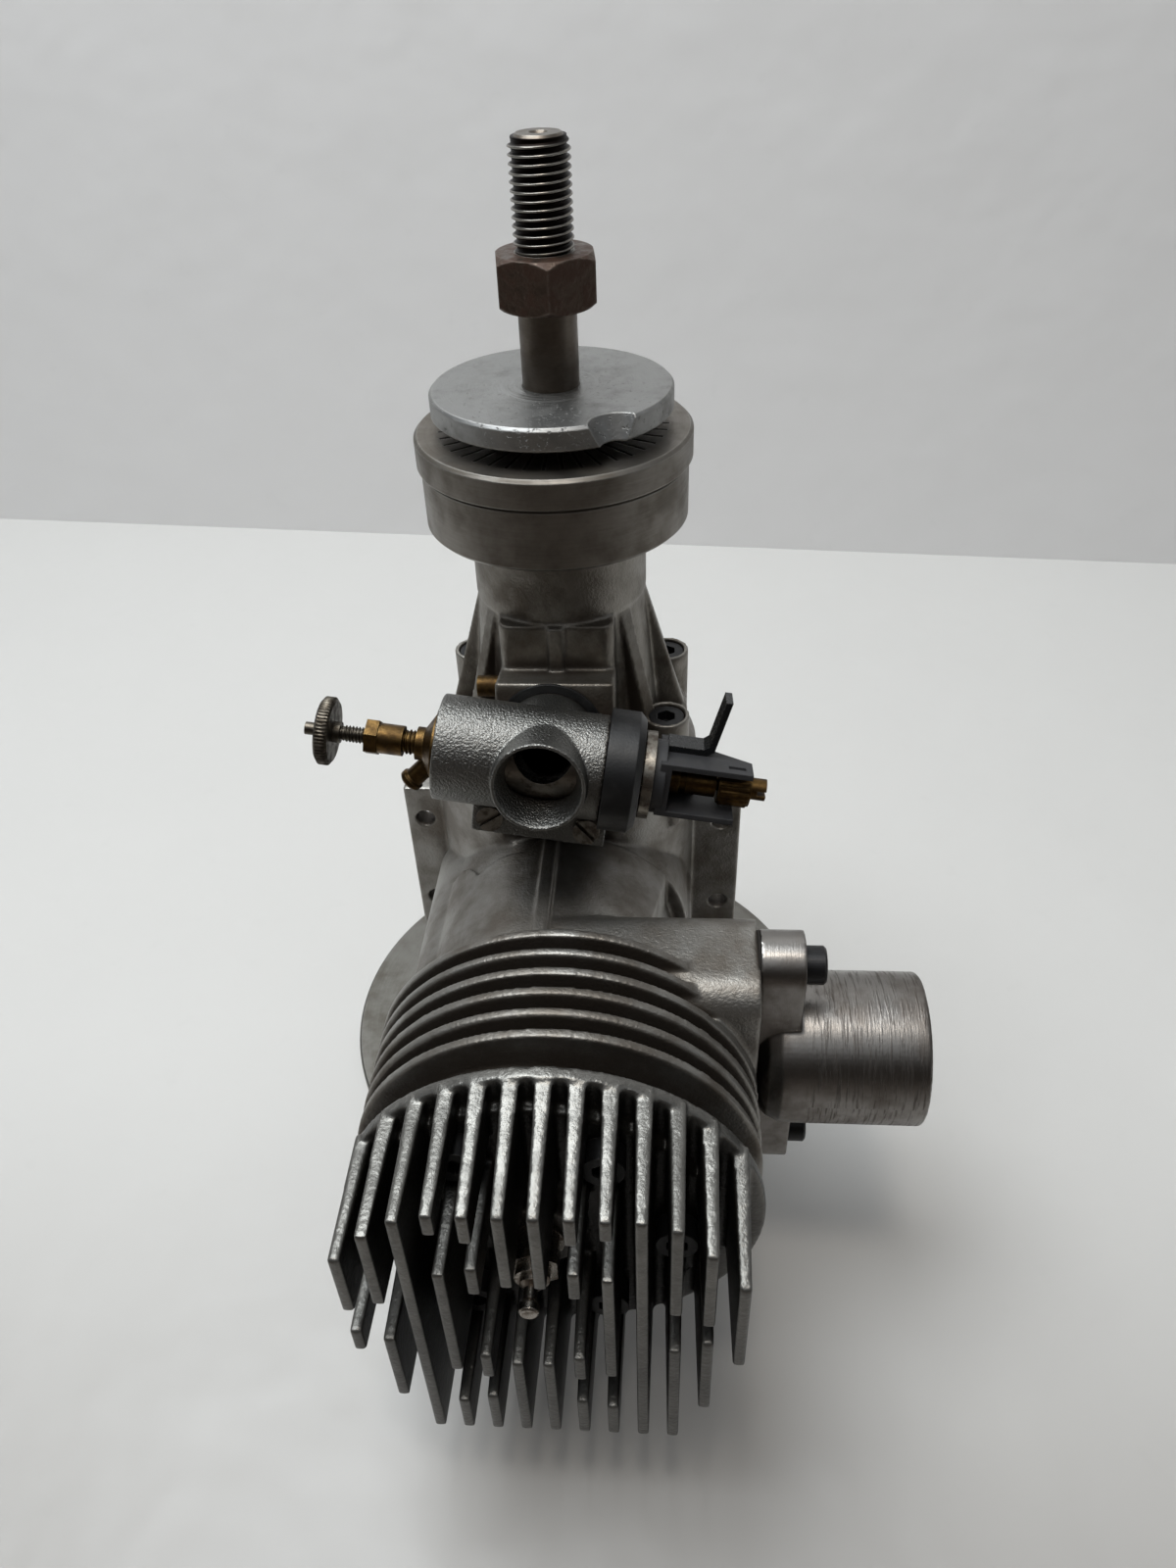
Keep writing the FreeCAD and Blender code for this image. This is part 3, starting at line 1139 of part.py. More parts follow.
def glow_plug_body():
    seat = PLUG_BOSS_TOP + PLUG_WASHER_THICK
    top = seat + PLUG_HEX_HEIGHT
    body = joined([
        drum(PLUG_THREAD_RADIUS, HEAD_BASE + CHAMBER_DEPTH - 0.5, seat),
        hexagon(PLUG_HEX_WIDTH, seat, top),
        drum(PLUG_COLLAR_RADIUS, top, top + 1.6),
    ])
    return on_cylinder(body.cut(drum(1.3, HEAD_BASE, top + 2)))


def glow_plug_post():
    """Centre electrode with the waist and button that the glow connector clips on."""
    low = HEAD_BASE + CHAMBER_DEPTH
    collar = PLUG_BOSS_TOP + PLUG_WASHER_THICK + PLUG_HEX_HEIGHT + 1.6
    post = turned([
        (0, low), (1.25, low), (1.25, collar), (2.0, collar), (2.0, collar + 0.9),
        (1.1, collar + 1.5), (1.1, PLUG_TIP - 2.2), (1.65, PLUG_TIP - 1.5), (1.65, PLUG_TIP - 0.3),
        (1.35, PLUG_TIP), (0, PLUG_TIP),
    ])
    return on_cylinder(post)


# Exhaust adapter, in the exhaust frame: Z along the tube, X down

def flange_plate(low, high):
    corner = 5.0
    tall, wide = EXHAUST_FLANGE_HALF_HEIGHT, EXHAUST_FLANGE_HALF_WIDTH
    outline = block(-tall, tall, -wide, wide, low, high)
    edges = []
    for edge in outline.Edges:
        first, last = edge.Vertexes[0].Point, edge.Vertexes[1].Point
        if abs(first.z - last.z) > (high - low) / 2:
            edges.append(edge)
    return outline.makeFillet(corner, edges)


def exhaust_gasket():
    gasket = flange_plate(DUCT_FACE, FLANGE_START)
    gasket = gasket.cut(block(-EXHAUST_PORT_HALF, EXHAUST_PORT_HALF, -7, 10, DUCT_FACE - 1, FLANGE_START + 1))
    return on_exhaust(gasket).cut(exhaust_screw_holes(DUCT_FACE - 1, FLANGE_START + 1))


def exhaust_adapter():
    blend = 4.0
    collar = EXHAUST_TUBE_RADIUS + 0.5
    turning = EXHAUST_TUBE_RADIUS + 0.2
    collar_end = FLANGE_END + EXHAUST_COLLAR
    seat = FLANGE_END + CLAMP_SEAT_START
    tube = turned([
        (0, FLANGE_START + 1.5), (collar - blend, FLANGE_START + 1.5), (collar, FLANGE_START + 1.5 + blend),
        (collar, collar_end - 0.2), (turning, collar_end), (turning, seat),
        (EXHAUST_TUBE_RADIUS, seat), (EXHAUST_TUBE_RADIUS, EXHAUST_TUBE_END - 0.4),
        (EXHAUST_TUBE_RADIUS - 0.4, EXHAUST_TUBE_END), (0, EXHAUST_TUBE_END),
    ])
    adapter = joined([flange_plate(FLANGE_START, FLANGE_END), tube])
    bore = turned([
        (0, FLANGE_START - 1), (EXHAUST_PORT_HALF, FLANGE_START - 1), (EXHAUST_PORT_HALF, FLANGE_START),
        (EXHAUST_BORE_RADIUS, FLANGE_END + 1), (EXHAUST_BORE_RADIUS, EXHAUST_TUBE_END + 1),
        (0, EXHAUST_TUBE_END + 1),
    ])
    return on_exhaust(adapter.cut(bore)).cut(exhaust_screw_holes(FLANGE_START - 1, FLANGE_END + 1))


def exhaust_screws():
    screw = cap_screw(M5, M5_HEAD_RADIUS, M5_HEAD_HEIGHT, EXHAUST_FLANGE_THICK + EXHAUST_SCREW_DEPTH, M4_SOCKET)
    places = (-EXHAUST_SCREW_REACH, EXHAUST_SCREW_REACH)
    return on_exhaust(Part.makeCompound([placed(screw, x, 0, FLANGE_END) for x in places]))


# Propeller driver, collet, washer and nut

def collet_profile(gap):
    """Taper between the shaft and the driver; gap opens the driver's seat."""
    inner = NOSE_SHAFT_RADIUS + RUN_GAP
    low, high = DRIVER_BASE + 2, DRIVER_FACE - 2
    outer = inner + COLLET_WALL + gap
    return inner, outer, outer + COLLET_TAPER, low, high


def drive_collet():
    inner, top, bottom, low, high = collet_profile(0.0)
    collet = turned([(inner, low), (bottom, low), (top, high), (inner, high)])
    return collet.cut(block(0, bottom + 1, -0.4, 0.4, low - 1, high + 1))


def prop_driver():
    driver = turned([
        (0, DRIVER_BASE),
        (DRIVER_SKIRT_RADIUS - 0.6, DRIVER_BASE),
        (DRIVER_SKIRT_RADIUS, DRIVER_BASE + 0.6),
        (DRIVER_SKIRT_RADIUS, DRIVER_GROOVE - 0.5),
        (DRIVER_SKIRT_RADIUS - 0.5, DRIVER_GROOVE - 0.2),
        (DRIVER_RADIUS, DRIVER_GROOVE + 0.3),
        (DRIVER_RADIUS, DRIVER_FACE - 0.6),
        (DRIVER_RADIUS - 0.6, DRIVER_FACE),
        (DRIVER_BOSS_RADIUS, DRIVER_FACE),
        (DRIVER_BOSS_RADIUS - 0.4, WASHER_SEAT),
        (0, WASHER_SEAT),
    ])
    inner, top, bottom, low, high = collet_profile(SEAT_GAP)
    seat = turned([(0, low - 3), (bottom, low - 3), (bottom, low), (top, high), (inner, high), (inner, high + 1),
                   (PROP_SHAFT_RADIUS + 3.2, WASHER_SEAT + 1), (0, WASHER_SEAT + 1)])
    driver = driver.cut(seat)
    groove = block(DRIVER_BOSS_RADIUS + 0.6, SERRATION_REACH, -SERRATION_WIDTH / 2, SERRATION_WIDTH / 2,
                   DRIVER_FACE - 0.5, DRIVER_FACE + 1)
    grooves = []
    for i in range(SERRATION_COUNT):
        grooves.append(placed(groove, turn=360.0 * i / SERRATION_COUNT))
    return driver.cut(Part.makeCompound(grooves))


def prop_washer():
    """Thick washer under the nut, with a worn bite out of its rim."""
    washer = turned([
        (PROP_SHAFT_RADIUS + SEAT_GAP, WASHER_SEAT),
        (WASHER_RADIUS - 0.3, WASHER_SEAT),
        (WASHER_RADIUS, WASHER_SEAT + 0.3),
        (WASHER_RADIUS, WASHER_TOP - 0.5),
        (WASHER_RADIUS - 0.5, WASHER_TOP),
        (PROP_SHAFT_RADIUS + SEAT_GAP, WASHER_TOP),
    ])
    bite = Part.makeCone(WASHER_BITE_LOW, WASHER_BITE_HIGH, WASHER_THICK)
    bite.rotate(vec(0, 0, 0), vec(0, 0, 1), 45)
    rim = WASHER_RADIUS + WASHER_BITE_LOW * 0.45
    bite.translate(vec(rim * math.cos(WASHER_BITE_TURN), rim * math.sin(WASHER_BITE_TURN), WASHER_SEAT))
    return washer.cut(bite)


def prop_nut():
    nut = hexagon(NUT_WIDTH, NUT_BASE, NUT_TOP)
    corner = NUT_WIDTH / math.sqrt(3)
    bevel = 1.1
    crown = turned([
        (0, NUT_BASE), (NUT_WIDTH / 2, NUT_BASE), (corner + 0.1, NUT_BASE + bevel),
        (corner + 0.1, NUT_TOP - bevel), (NUT_WIDTH / 2, NUT_TOP), (0, NUT_TOP),
    ])
    nut = placed(nut.common(crown), turn=8)
    return nut.cut(drum(PROP_SHAFT_RADIUS + SEAT_GAP, NUT_BASE - 1, NUT_TOP + 1))


def all_nodes():
    rear_outer, rear_inner = bearing_races(REAR_BEARING_OUTER, SHAFT_RADIUS, REAR_BEARING_BASE, REAR_BEARING_TOP)
    nose_outer, nose_inner = bearing_races(NOSE_BEARING_OUTER, NOSE_SHAFT_RADIUS, NOSE_BEARING_BASE,
                                           NOSE_BEARING_TOP)
    return {
        "rear_disc": rear_disc(),
        "disc_screws": disc_screws(),
        "rear_cover": rear_cover(),
        "rear_gasket": rear_gasket(),
        "rear_cover_screws": rear_cover_screws(),
        "crankcase": crankcase(),
        "cylinder_liner": cylinder_liner(),
        "head_gasket": head_gasket(),
        "cylinder_head": cylinder_head(),
        "head_screws": head_screws(),
        "glow_plug_washer": glow_plug_washer(),
        "glow_plug_body": glow_plug_body(),
        "glow_plug_post": glow_plug_post(),
        "piston": piston(),
        "piston_ring": piston_ring(),
        "wrist_pin": wrist_pin(),
        "wrist_pin_clips": pin_clips(),
        "connecting_rod": connecting_rod(),
        "big_end_bush": big_end_bush(),
        "small_end_bush": small_end_bush(),
        "crankpin": crankpin(),
        "crankshaft": crankshaft(),
        "rear_bearing_outer": rear_outer,
        "rear_bearing_inner": rear_inner,
        "nose_bearing_outer": nose_outer,
        "nose_bearing_inner": nose_inner,
        "front_housing": front_housing(),
        "front_housing_screws": front_housing_screws(),
        "intake_plug": intake_plug(),
        "barrel_stop_screw": stop_screw(),
        "carb_body": carb_body(),
        "carb_seal": carb_seal(),
        "carb_screws": carb_screws(),
        "barrel_boot": barrel_boot(),
        "throttle_barrel": throttle_barrel(),
        "thrust_washer": thrust_washer(),
        "throttle_arm": throttle_arm(),
        "idle_tube": idle_tube(),
        "throttle_lever": throttle_lever(),
        "idle_screw": idle_screw(),
        "needle_seat": needle_seat(),
        "needle_nut": needle_nut(),
        "mixture_needle": mixture_needle(),
        "needle_wheel": needle_wheel(),
        "fuel_nipple": fuel_nipple(),
        "exhaust_gasket": exhaust_gasket(),
        "exhaust_adapter": exhaust_adapter(),
        "exhaust_screws": exhaust_screws(),
        "prop_driver": prop_driver(),
        "drive_collet": drive_collet(),
        "prop_washer": prop_washer(),
        "prop_nut": prop_nut(),
    }


os.makedirs("parts", exist_ok=True)
for name, shape in all_nodes().items():
    shape.exportStep("parts/" + name + ".step")
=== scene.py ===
import bpy
import math
from mathutils import Matrix, Vector


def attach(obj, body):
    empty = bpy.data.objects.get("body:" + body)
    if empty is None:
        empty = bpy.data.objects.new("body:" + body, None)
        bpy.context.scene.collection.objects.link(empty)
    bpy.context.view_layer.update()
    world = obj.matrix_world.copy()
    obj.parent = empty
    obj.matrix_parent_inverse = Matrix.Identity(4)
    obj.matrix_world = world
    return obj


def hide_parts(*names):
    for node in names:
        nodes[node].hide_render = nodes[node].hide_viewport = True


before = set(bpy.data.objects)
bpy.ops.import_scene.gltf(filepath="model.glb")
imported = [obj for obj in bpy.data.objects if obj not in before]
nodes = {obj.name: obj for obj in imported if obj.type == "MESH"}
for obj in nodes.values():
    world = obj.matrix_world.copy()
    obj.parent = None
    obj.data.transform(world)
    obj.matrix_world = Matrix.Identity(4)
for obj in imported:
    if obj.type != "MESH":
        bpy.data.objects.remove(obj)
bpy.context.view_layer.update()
MM = 0.001

# Camera, held above the engine and looking down on it at 38 degrees, a little to the right of its middle,
# with a slight tilt of the hand. The lens is a wide one, its length given in picture pixels.
LOOK_DOWN = math.radians(37.976)
LOOK_ASIDE = math.radians(-4.832)
HAND_TILT = math.radians(-2.408)
FILM_LONG_SIDE = 36.0
PICTURE_HEIGHT = 1600.0
FOCAL_PIXELS = 1170.5
CAMERA_PLACE = Vector((20.38, -199.85, 233.53)) * MM


def camera_turn():
    forward = Vector((math.sin(LOOK_ASIDE) * math.cos(LOOK_DOWN), math.cos(LOOK_ASIDE) * math.cos(LOOK_DOWN),
                      -math.sin(LOOK_DOWN)))
    level = forward.cross(Vector((0, 0, 1))).normalized()
    upright = level.cross(forward)
    side = math.cos(HAND_TILT) * level + math.sin(HAND_TILT) * upright
    top = -math.sin(HAND_TILT) * level + math.cos(HAND_TILT) * upright
    return Matrix((side, top, -forward)).transposed()


lens = bpy.data.cameras.new("camera")
lens.lens = FILM_LONG_SIDE * FOCAL_PIXELS / PICTURE_HEIGHT
lens.sensor_width = FILM_LONG_SIDE
lens.clip_start = 0.01
camera = bpy.data.objects.new("camera", lens)
camera.matrix_world = Matrix.Translation(CAMERA_PLACE) @ camera_turn().to_4x4()
bpy.context.scene.collection.objects.link(camera)
bpy.context.scene.camera = camera
bpy.context.scene.view_settings.view_transform = "Standard"


# Room: a soft box of light from above and behind, and a dim brown room on the camera's side, which the metal
# that faces the camera reflects.
class Channel:
    """A shader socket that takes part in Python sums."""

    def __init__(self, graph, socket):
        self.graph = graph
        self.socket = socket

    def maths(self, operation, *values):
        return self.graph.node("ShaderNodeMath", {"operation": operation}, dict(enumerate(values)))

    def __add__(self, other):
        return self.maths("ADD", self, other)

    def __radd__(self, other):
        return self.maths("ADD", other, self)

    def __sub__(self, other):
        return self.maths("SUBTRACT", self, other)

    def __rsub__(self, other):
        return self.maths("SUBTRACT", other, self)

    def __mul__(self, other):
        return self.maths("MULTIPLY", self, other)

    def __rmul__(self, other):
        return self.maths("MULTIPLY", other, self)

    def __pow__(self, other):
        return self.maths("POWER", self, other)


class Graph:
    """A shader tree and the one way in which nodes are added to it."""

    def __init__(self, tree):
        self.tree = tree

    def feed(self, socket, value):
        if isinstance(value, Channel):
            self.tree.links.new(value.socket, socket)
        elif isinstance(value, tuple) and len(value) == 3 and socket.type == "RGBA":
            socket.default_value = (*value, 1.0)
        else:
            socket.default_value = value

    def node(self, kind, settings, inputs, output=0):
        made = self.tree.nodes.new(kind)
        for key, value in settings.items():
            setattr(made, key, value)
        for key, value in inputs.items():
            self.feed(made.inputs[key], value)
        return Channel(self, made.outputs[output])

    def mix(self, amount, first, second):
        return self.node("ShaderNodeMix", {"data_type": "RGBA"}, {0: amount, 6: first, 7: second}, 2)

    def between(self, value, low, high):
        """0 below low, 1 above high and smooth between them."""
        return self.node("ShaderNodeMapRange", {"interpolation_type": "SMOOTHSTEP"},
                         {"Value": value, "From Min": low, "From Max": high})

    def parts(self, vector):
        split = self.node("ShaderNodeSeparateXYZ", {}, {0: vector})
        return [Channel(self, out) for out in split.socket.node.outputs]


ROOM_SIDE = (0.42, 0.45, 0.47)
ROOM_FRONT = (0.040, 0.030, 0.024)
ROOM_ABOVE = (1.00, 1.04, 1.08)
ROOM_STRENGTH = 0.62
ROOM_FRONT_FADE = (0.10, 0.80)
ROOM_ABOVE_FADE = (0.45, 0.90)
COOL_LIGHT = (0.92, 0.97, 1.0)
WARM_LIGHT = (1.0, 0.93, 0.84)


def room():
    world = bpy.data.worlds.new("room")
    bpy.context.scene.world = world
    world.use_nodes = True
    graph = Graph(world.node_tree)
    back = world.node_tree.nodes["Background"]
    y, z = graph.parts(graph.node("ShaderNodeTexCoord", {}, {}, "Generated"))[1:]
    front = graph.between(0.0 - y, *ROOM_FRONT_FADE)
    above = graph.between(z, *ROOM_ABOVE_FADE)
    color = graph.mix(above, graph.mix(front, ROOM_SIDE, ROOM_FRONT), ROOM_ABOVE)
    graph.feed(back.inputs["Color"], color)
    back.inputs["Strength"].default_value = ROOM_STRENGTH


def soft_light(name, place, target, size, power, color):
    lamp = bpy.data.lights.new(name, "AREA")
    lamp.shape = "DISK"
    lamp.size = size
    lamp.energy = power
    lamp.color = color
    holder = bpy.data.objects.new(name, lamp)
    holder.location = place
    holder.rotation_euler = (Vector(target) - Vector(place)).to_track_quat("-Z", "Y").to_euler()
    bpy.context.scene.collection.objects.link(holder)


room()
soft_light("back_light", place=(-0.25, 0.05, 0.95), target=(-0.05, 0.10, 0.08), size=0.60, power=6.6,
           color=COOL_LIGHT)
soft_light("ceiling_light", place=(0.02, -0.26, 1.05), target=(0, -0.04, 0.08), size=0.16, power=1.6,
           color=WARM_LIGHT)


# Finishes. Each is one shader, with the patterns that vary it over the metal. They follow the piece's own place
# in the engine, so stains and scratches stay on it when it moves.
CORNER_SAMPLES = 8
EDGE_SAMPLES = 4


class Finish(Graph):
    """A material: its shader and the patterns that feed it."""

    def __init__(self, name, color, metallic, roughness):
        self.material = bpy.data.materials.new(name)
        self.material.use_nodes = True
        super().__init__(self.material.node_tree)
        self.shader = self.tree.nodes["Principled BSDF"]
        self.place = self.node("ShaderNodeTexCoord", {}, {}, "Object")
        self.set("Base Color", color)
        self.set("Metallic", metallic)
        self.set("Roughness", roughness)

    def set(self, name, value):
        self.feed(self.shader.inputs[name], value)

    def grain(self, size, detail=4.0, where=None):
        """Noise whose blotches are about size millimetres across."""
        return self.node("ShaderNodeTexNoise", {}, {"Vector": where or self.place, "Scale": 1.0 / (size * MM),
                                                   "Detail": detail, "Roughness": 0.6})

    def round_place(self, along, axis_point, stretch):
        """Place as (along the axis, distance from it, angle round it), for the lines that a lathe leaves."""
        parts = self.parts(self.place)
        a, b = (parts[i] - axis_point[i] for i in range(3) if i != along)
        radius = (a * a + b * b) ** 0.5
        angle = a.maths("ARCTAN2", b, a)
        return self.node("ShaderNodeCombineXYZ", {}, {0: parts[along] * stretch[0], 1: radius * stretch[1],
                                                     2: angle * stretch[2]})

    def openness(self, reach):
        """1 on open surfaces, falling to 0 in corners narrower than reach millimetres."""
        return self.node("ShaderNodeAmbientOcclusion", {"samples": CORNER_SAMPLES}, {"Distance": reach * MM}, "AO")

    def edge(self, width):
        """0 on flats, rising on edges and corners."""
        soft = self.node("ShaderNodeBevel", {"samples": EDGE_SAMPLES}, {"Radius": width * MM})
        sharp = self.node("ShaderNodeNewGeometry", {}, {}, "Normal")
        same = self.node("ShaderNodeVectorMath", {"operation": "DOT_PRODUCT"}, {0: soft, 1: sharp}, "Value")
        return self.between(1.0 - same, 0.01, 0.15)

    def relief(self, height, depth, soften=0.0):
        """Bumps the surface by height times depth millimetres; soften rounds its edges by so many."""
        inputs = {"Height": height, "Distance": depth * MM, "Strength": 1.0}
        if soften:
            inputs["Normal"] = self.node("ShaderNodeBevel", {"samples": EDGE_SAMPLES}, {"Radius": soften * MM})
        self.set("Normal", self.node("ShaderNodeBump", {}, inputs))


def paint(finish, *names):
    for name in names:
        mesh = nodes[name].data
        mesh.materials.clear()
        mesh.materials.append(finish.material)


# Floor and wall: a sheet of pale glazed board that the engine stands on, with another stood up behind it.
# Painted shade darkens the floor towards the camera, from the engine's middle to 28 cm in front of it.
FLOOR_COLOR = (0.64, 0.63, 0.61)
FLOOR_SHADE_COLOR = (0.15, 0.125, 0.105)
FLOOR_SHADE_FADE = (0.0, -0.28)
WALL_COLOR = (0.80, 0.79, 0.785)
WALL_LEFT = Vector((-294.8, 303.1, 0.0)) * MM
WALL_RIGHT = Vector((227.5, 253.7, 0.0)) * MM
WALL_HEIGHT = 3.0
WALL_LEAN = 0.4
FLOOR_DEPTH = 4.0
BOARD_OVERHANG = 3.0
FLOOR_ROUGHNESS = 0.35
WALL_ROUGHNESS = 0.45


def mesh_of(name, points, faces):
    mesh = bpy.data.meshes.new(name)
    mesh.from_pydata(points, [], faces)
    return mesh


def board(name, corners, color, roughness):
    mesh = mesh_of(name, corners, [(0, 1, 2, 3)])
    sheet = bpy.data.objects.new(name, mesh)
    bpy.context.scene.collection.objects.link(sheet)
    card = Finish(name, color, 0.0, roughness)
    waves = card.grain(60.0, 3.0)
    scuffs = card.between(card.grain(9.0, 6.0), 0.60, 0.75)
    tint = tuple(c * 0.93 for c in color)
    # Painted shade: the floor darkens towards the camera.
    near = card.between(0.0 - card.parts(card.place)[1], -FLOOR_SHADE_FADE[0], -FLOOR_SHADE_FADE[1])
    card.set("Base Color", card.mix(near, card.mix(waves * 0.5 + scuffs * 0.25, color, tint), FLOOR_SHADE_COLOR))
    card.relief(waves, 1.5)
    mesh.materials.append(card.material)


def floor_and_wall():
    along = (WALL_RIGHT - WALL_LEFT).normalized()
    left, right = WALL_LEFT - along * BOARD_OVERHANG, WALL_RIGHT + along * BOARD_OVERHANG
    near = Vector((0, -FLOOR_DEPTH, 0))
    high = Vector((0, WALL_LEAN, WALL_HEIGHT))
    board("floor", [left + near, right + near, right, left], FLOOR_COLOR, FLOOR_ROUGHNESS)
    board("wall", [left, right, right + high, left + high], WALL_COLOR, WALL_ROUGHNESS)


floor_and_wall()

# Crankcase: a sand-cast aluminium body in one piece with its lugs, exhaust duct and six cooling fins.
# The blasted skin is grey where hands have rubbed it, and its corners are brown with baked castor oil and painted
# shade.
CAST_CLEAN = (0.30, 0.29, 0.27)
CAST_DULL = (0.155, 0.137, 0.117)
OIL_AND_SHADE_BROWN = (0.042, 0.031, 0.022)
RUBBED_CAST = (0.42, 0.41, 0.38)
CAST_VOXEL = 0.38
CAST_SMOOTHING = 3


def soften(node, voxel, rounds):
    """Rounds a casting's edges and inner corners as its sand mould does."""
    weld = node.modifiers.new("weld", "WELD")
    weld.merge_threshold = 0.01 * MM
    skin = node.modifiers.new("skin", "REMESH")
    skin.mode = "VOXEL"
    skin.voxel_size = voxel * MM
    skin.use_smooth_shade = True
    smooth = node.modifiers.new("smooth", "SMOOTH")
    smooth.factor = 0.5
    smooth.iterations = rounds


def casting(name, clean, dull, oil_and_shade, sparkle=0.11):
    cast = Finish(name, clean, 0.85, 0.5)
    blotch = cast.between(cast.grain(14.0, 5.0), 0.35, 0.65)
    speck = cast.grain(0.55, 2.0)
    # Painted shade: corners darken towards brown, and the stain below mixes it with patchy baked-oil stains.
    painted_corner_shade = 1.0 - cast.between(cast.openness(7.0), 0.30, 0.85)
    stain = cast.between(painted_corner_shade + cast.grain(5.0, 5.0) * 0.7 - 0.35, 0.15, 0.75) * oil_and_shade
    rubbed = cast.edge(0.7) * (1.0 - stain * 0.6)
    metal = cast.mix(blotch, clean, dull)
    metal = cast.mix(stain, metal, OIL_AND_SHADE_BROWN)
    cast.set("Base Color", cast.mix(rubbed * 0.7, metal, RUBBED_CAST))
    cast.set("Metallic", 0.9 - stain * 0.5)
    cast.set("Roughness", 0.40 + blotch * 0.10 + stain * 0.12)
    cast.relief(speck + cast.grain(2.5, 3.0) * 0.6, sparkle)
    return cast


case_metal = casting("crankcase_casting", CAST_CLEAN, CAST_DULL, 0.9)
paint(case_metal, "crankcase")
soften(nodes["crankcase"], CAST_VOXEL, CAST_SMOOTHING)

# Rear disc and cover: a turned aluminium plate that the engine stands on, dulled by handling, and the cast hub
# between it and the crankcase. Four sunk screws hold the disc on the hub.
DISC_METAL = (0.20, 0.195, 0.18)
RUBBED_BRIGHT = (0.50, 0.49, 0.46)


def turned_metal(name, color, along, axis_point, ring, roughness, depth=0.02):
    """Metal off a lathe: fine rings round the axis, ring millimetres apart, and a little wear."""
    metal = Finish(name, color, 1.0, roughness)
    lines = metal.grain(ring, 3.0, where=metal.round_place(along, axis_point, (1.0, 1.0, 0.0012)))
    wear = metal.between(metal.grain(8.0, 5.0), 0.35, 0.70)
    rubbed = metal.edge(0.5)
    dark = (color[0] * 0.52, color[1] * 0.48, color[2] * 0.43)
    shade = metal.mix(wear * 0.6 + lines * 0.4, color, dark)
    metal.set("Base Color", metal.mix(rubbed * 0.6, shade, RUBBED_BRIGHT))
    metal.set("Roughness", roughness + wear * 0.15 + lines * 0.12 - 0.06)
    metal.relief(lines, depth, 0.3)
    return metal


paint(turned_metal("disc_metal", DISC_METAL, 2, (0, 0, 0), 0.5, 0.42), "rear_disc")
paint(case_metal, "rear_cover")

# Front housing: a second casting bolted on with four socket screws. It carries the shaft's bearings and the intake
# block, and baked brown oil and painted shade darken the seam under its machined nose.
HOUSING_CLEAN = (0.26, 0.245, 0.22)
HOUSING_DULL = (0.125, 0.108, 0.088)
# Painted shade darkens its corners and seam, mixed with oil stains, as on the crankcase.
paint(casting("housing_casting", HOUSING_CLEAN, HOUSING_DULL, 0.95), "front_housing")
soften(nodes["front_housing"], CAST_VOXEL, CAST_SMOOTHING)

# Cylinder head: a thin round plate with thirteen tapered fins, cast in one. The fins slope down from the plate's
# rim, and stop short round each screw and the plug. Their rubbed edges are bright, their sides black with oil and
# painted shade, and painted shade darkens the gaps between the fins and the head's lower part.
# Heights are above the cylinder's axis and depths are from the shaft's, towards the camera.
HEAD_BRIGHT = (0.19, 0.185, 0.172)
HEAD_SOOT_AND_SHADE = (0.012, 0.011, 0.009)
HEAD_CENTRE = 58.0
HEAD_MIDDLE = 2.7
HEAD_RADIUS = 35.3
HEAD_BACK = 90.0
HEAD_RIM = 92.3
HEAD_SEAT = 94.2
HEAD_FRONT = 112.9
FIN_COUNT = 13
FIN_PITCH = 5.05
FIN_ROOT_HALF = 1.4
FIN_TIP_HALF = 0.95
FIN_FRONT_TOP = 30.4
FIN_LOW = 35.6
FIN_LOW_HALF = 21.5
FIN_LOW_SLOPE = 3.0
FIN_EXTRA_DROP = {11: 2.0, 12: 4.0}
SPIGOT_RADIUS = 28.0
SPIGOT_DEPTH = 1.6
SEAT_RADIUS = 29.5
SCREW_COUNT = 6
SCREW_CIRCLE = 23.2
SCREW_WELL = 5.4
PLUG_WELL = 12.0
PLUG_BOSS_RADIUS = 8.0
PLUG_BOSS_FRONT = 97.5
SHORTEST_FIN = 1.0
DISC_STEPS = 96
HEAD_VOXEL = 0.36
HEAD_SMOOTHING = 8


def head_point(x, height, depth):
    return Vector((x, -depth, HEAD_CENTRE + height)) * MM


def prism(points, faces, front, back):
    """Solid between two like outlines, each a list of points."""
    start, count = len(points), len(front)
    points += front + back
    faces.append(tuple(start + i for i in reversed(range(count))))
    faces.append(tuple(start + count + i for i in range(count)))
    for i in range(count):
        j = (i + 1) % count
        faces.append((start + i, start + j, start + count + j, start + count + i))


def head_disc(points, faces, x, height, radius, low, high):
    turns = [2 * math.pi * i / DISC_STEPS for i in range(DISC_STEPS)]
    ring = [(x + radius * math.cos(turn), height + radius * math.sin(turn)) for turn in turns]
    prism(points, faces, [head_point(*p, high) for p in ring], [head_point(*p, low) for p in ring])


def well_cuts(x):
    """Heights that a fin at x leaves out round the screws and the plug."""
    wells = [(0.0, 0.0, PLUG_WELL)]
    for i in range(SCREW_COUNT):
        turn = 2 * math.pi * i / SCREW_COUNT
        wells.append((SCREW_CIRCLE * math.cos(turn), SCREW_CIRCLE * math.sin(turn), SCREW_WELL))
    cuts = []
    for centre, height, radius in wells:
        if abs(x - centre) < radius - 0.1:
            half = math.sqrt(radius ** 2 - (x - centre) ** 2)
            cuts.append((height - half, height + half))
    return sorted(cuts)


def fin_stretches(x, low, high):
    """What the wells leave of a fin, as (low, high) heights."""
    stretches = []
    for start, end in well_cuts(x):
        if start - low > SHORTEST_FIN:
            stretches.append((low, start))
        low = max(low, end)
    stretches.append((low, high))
    return stretches


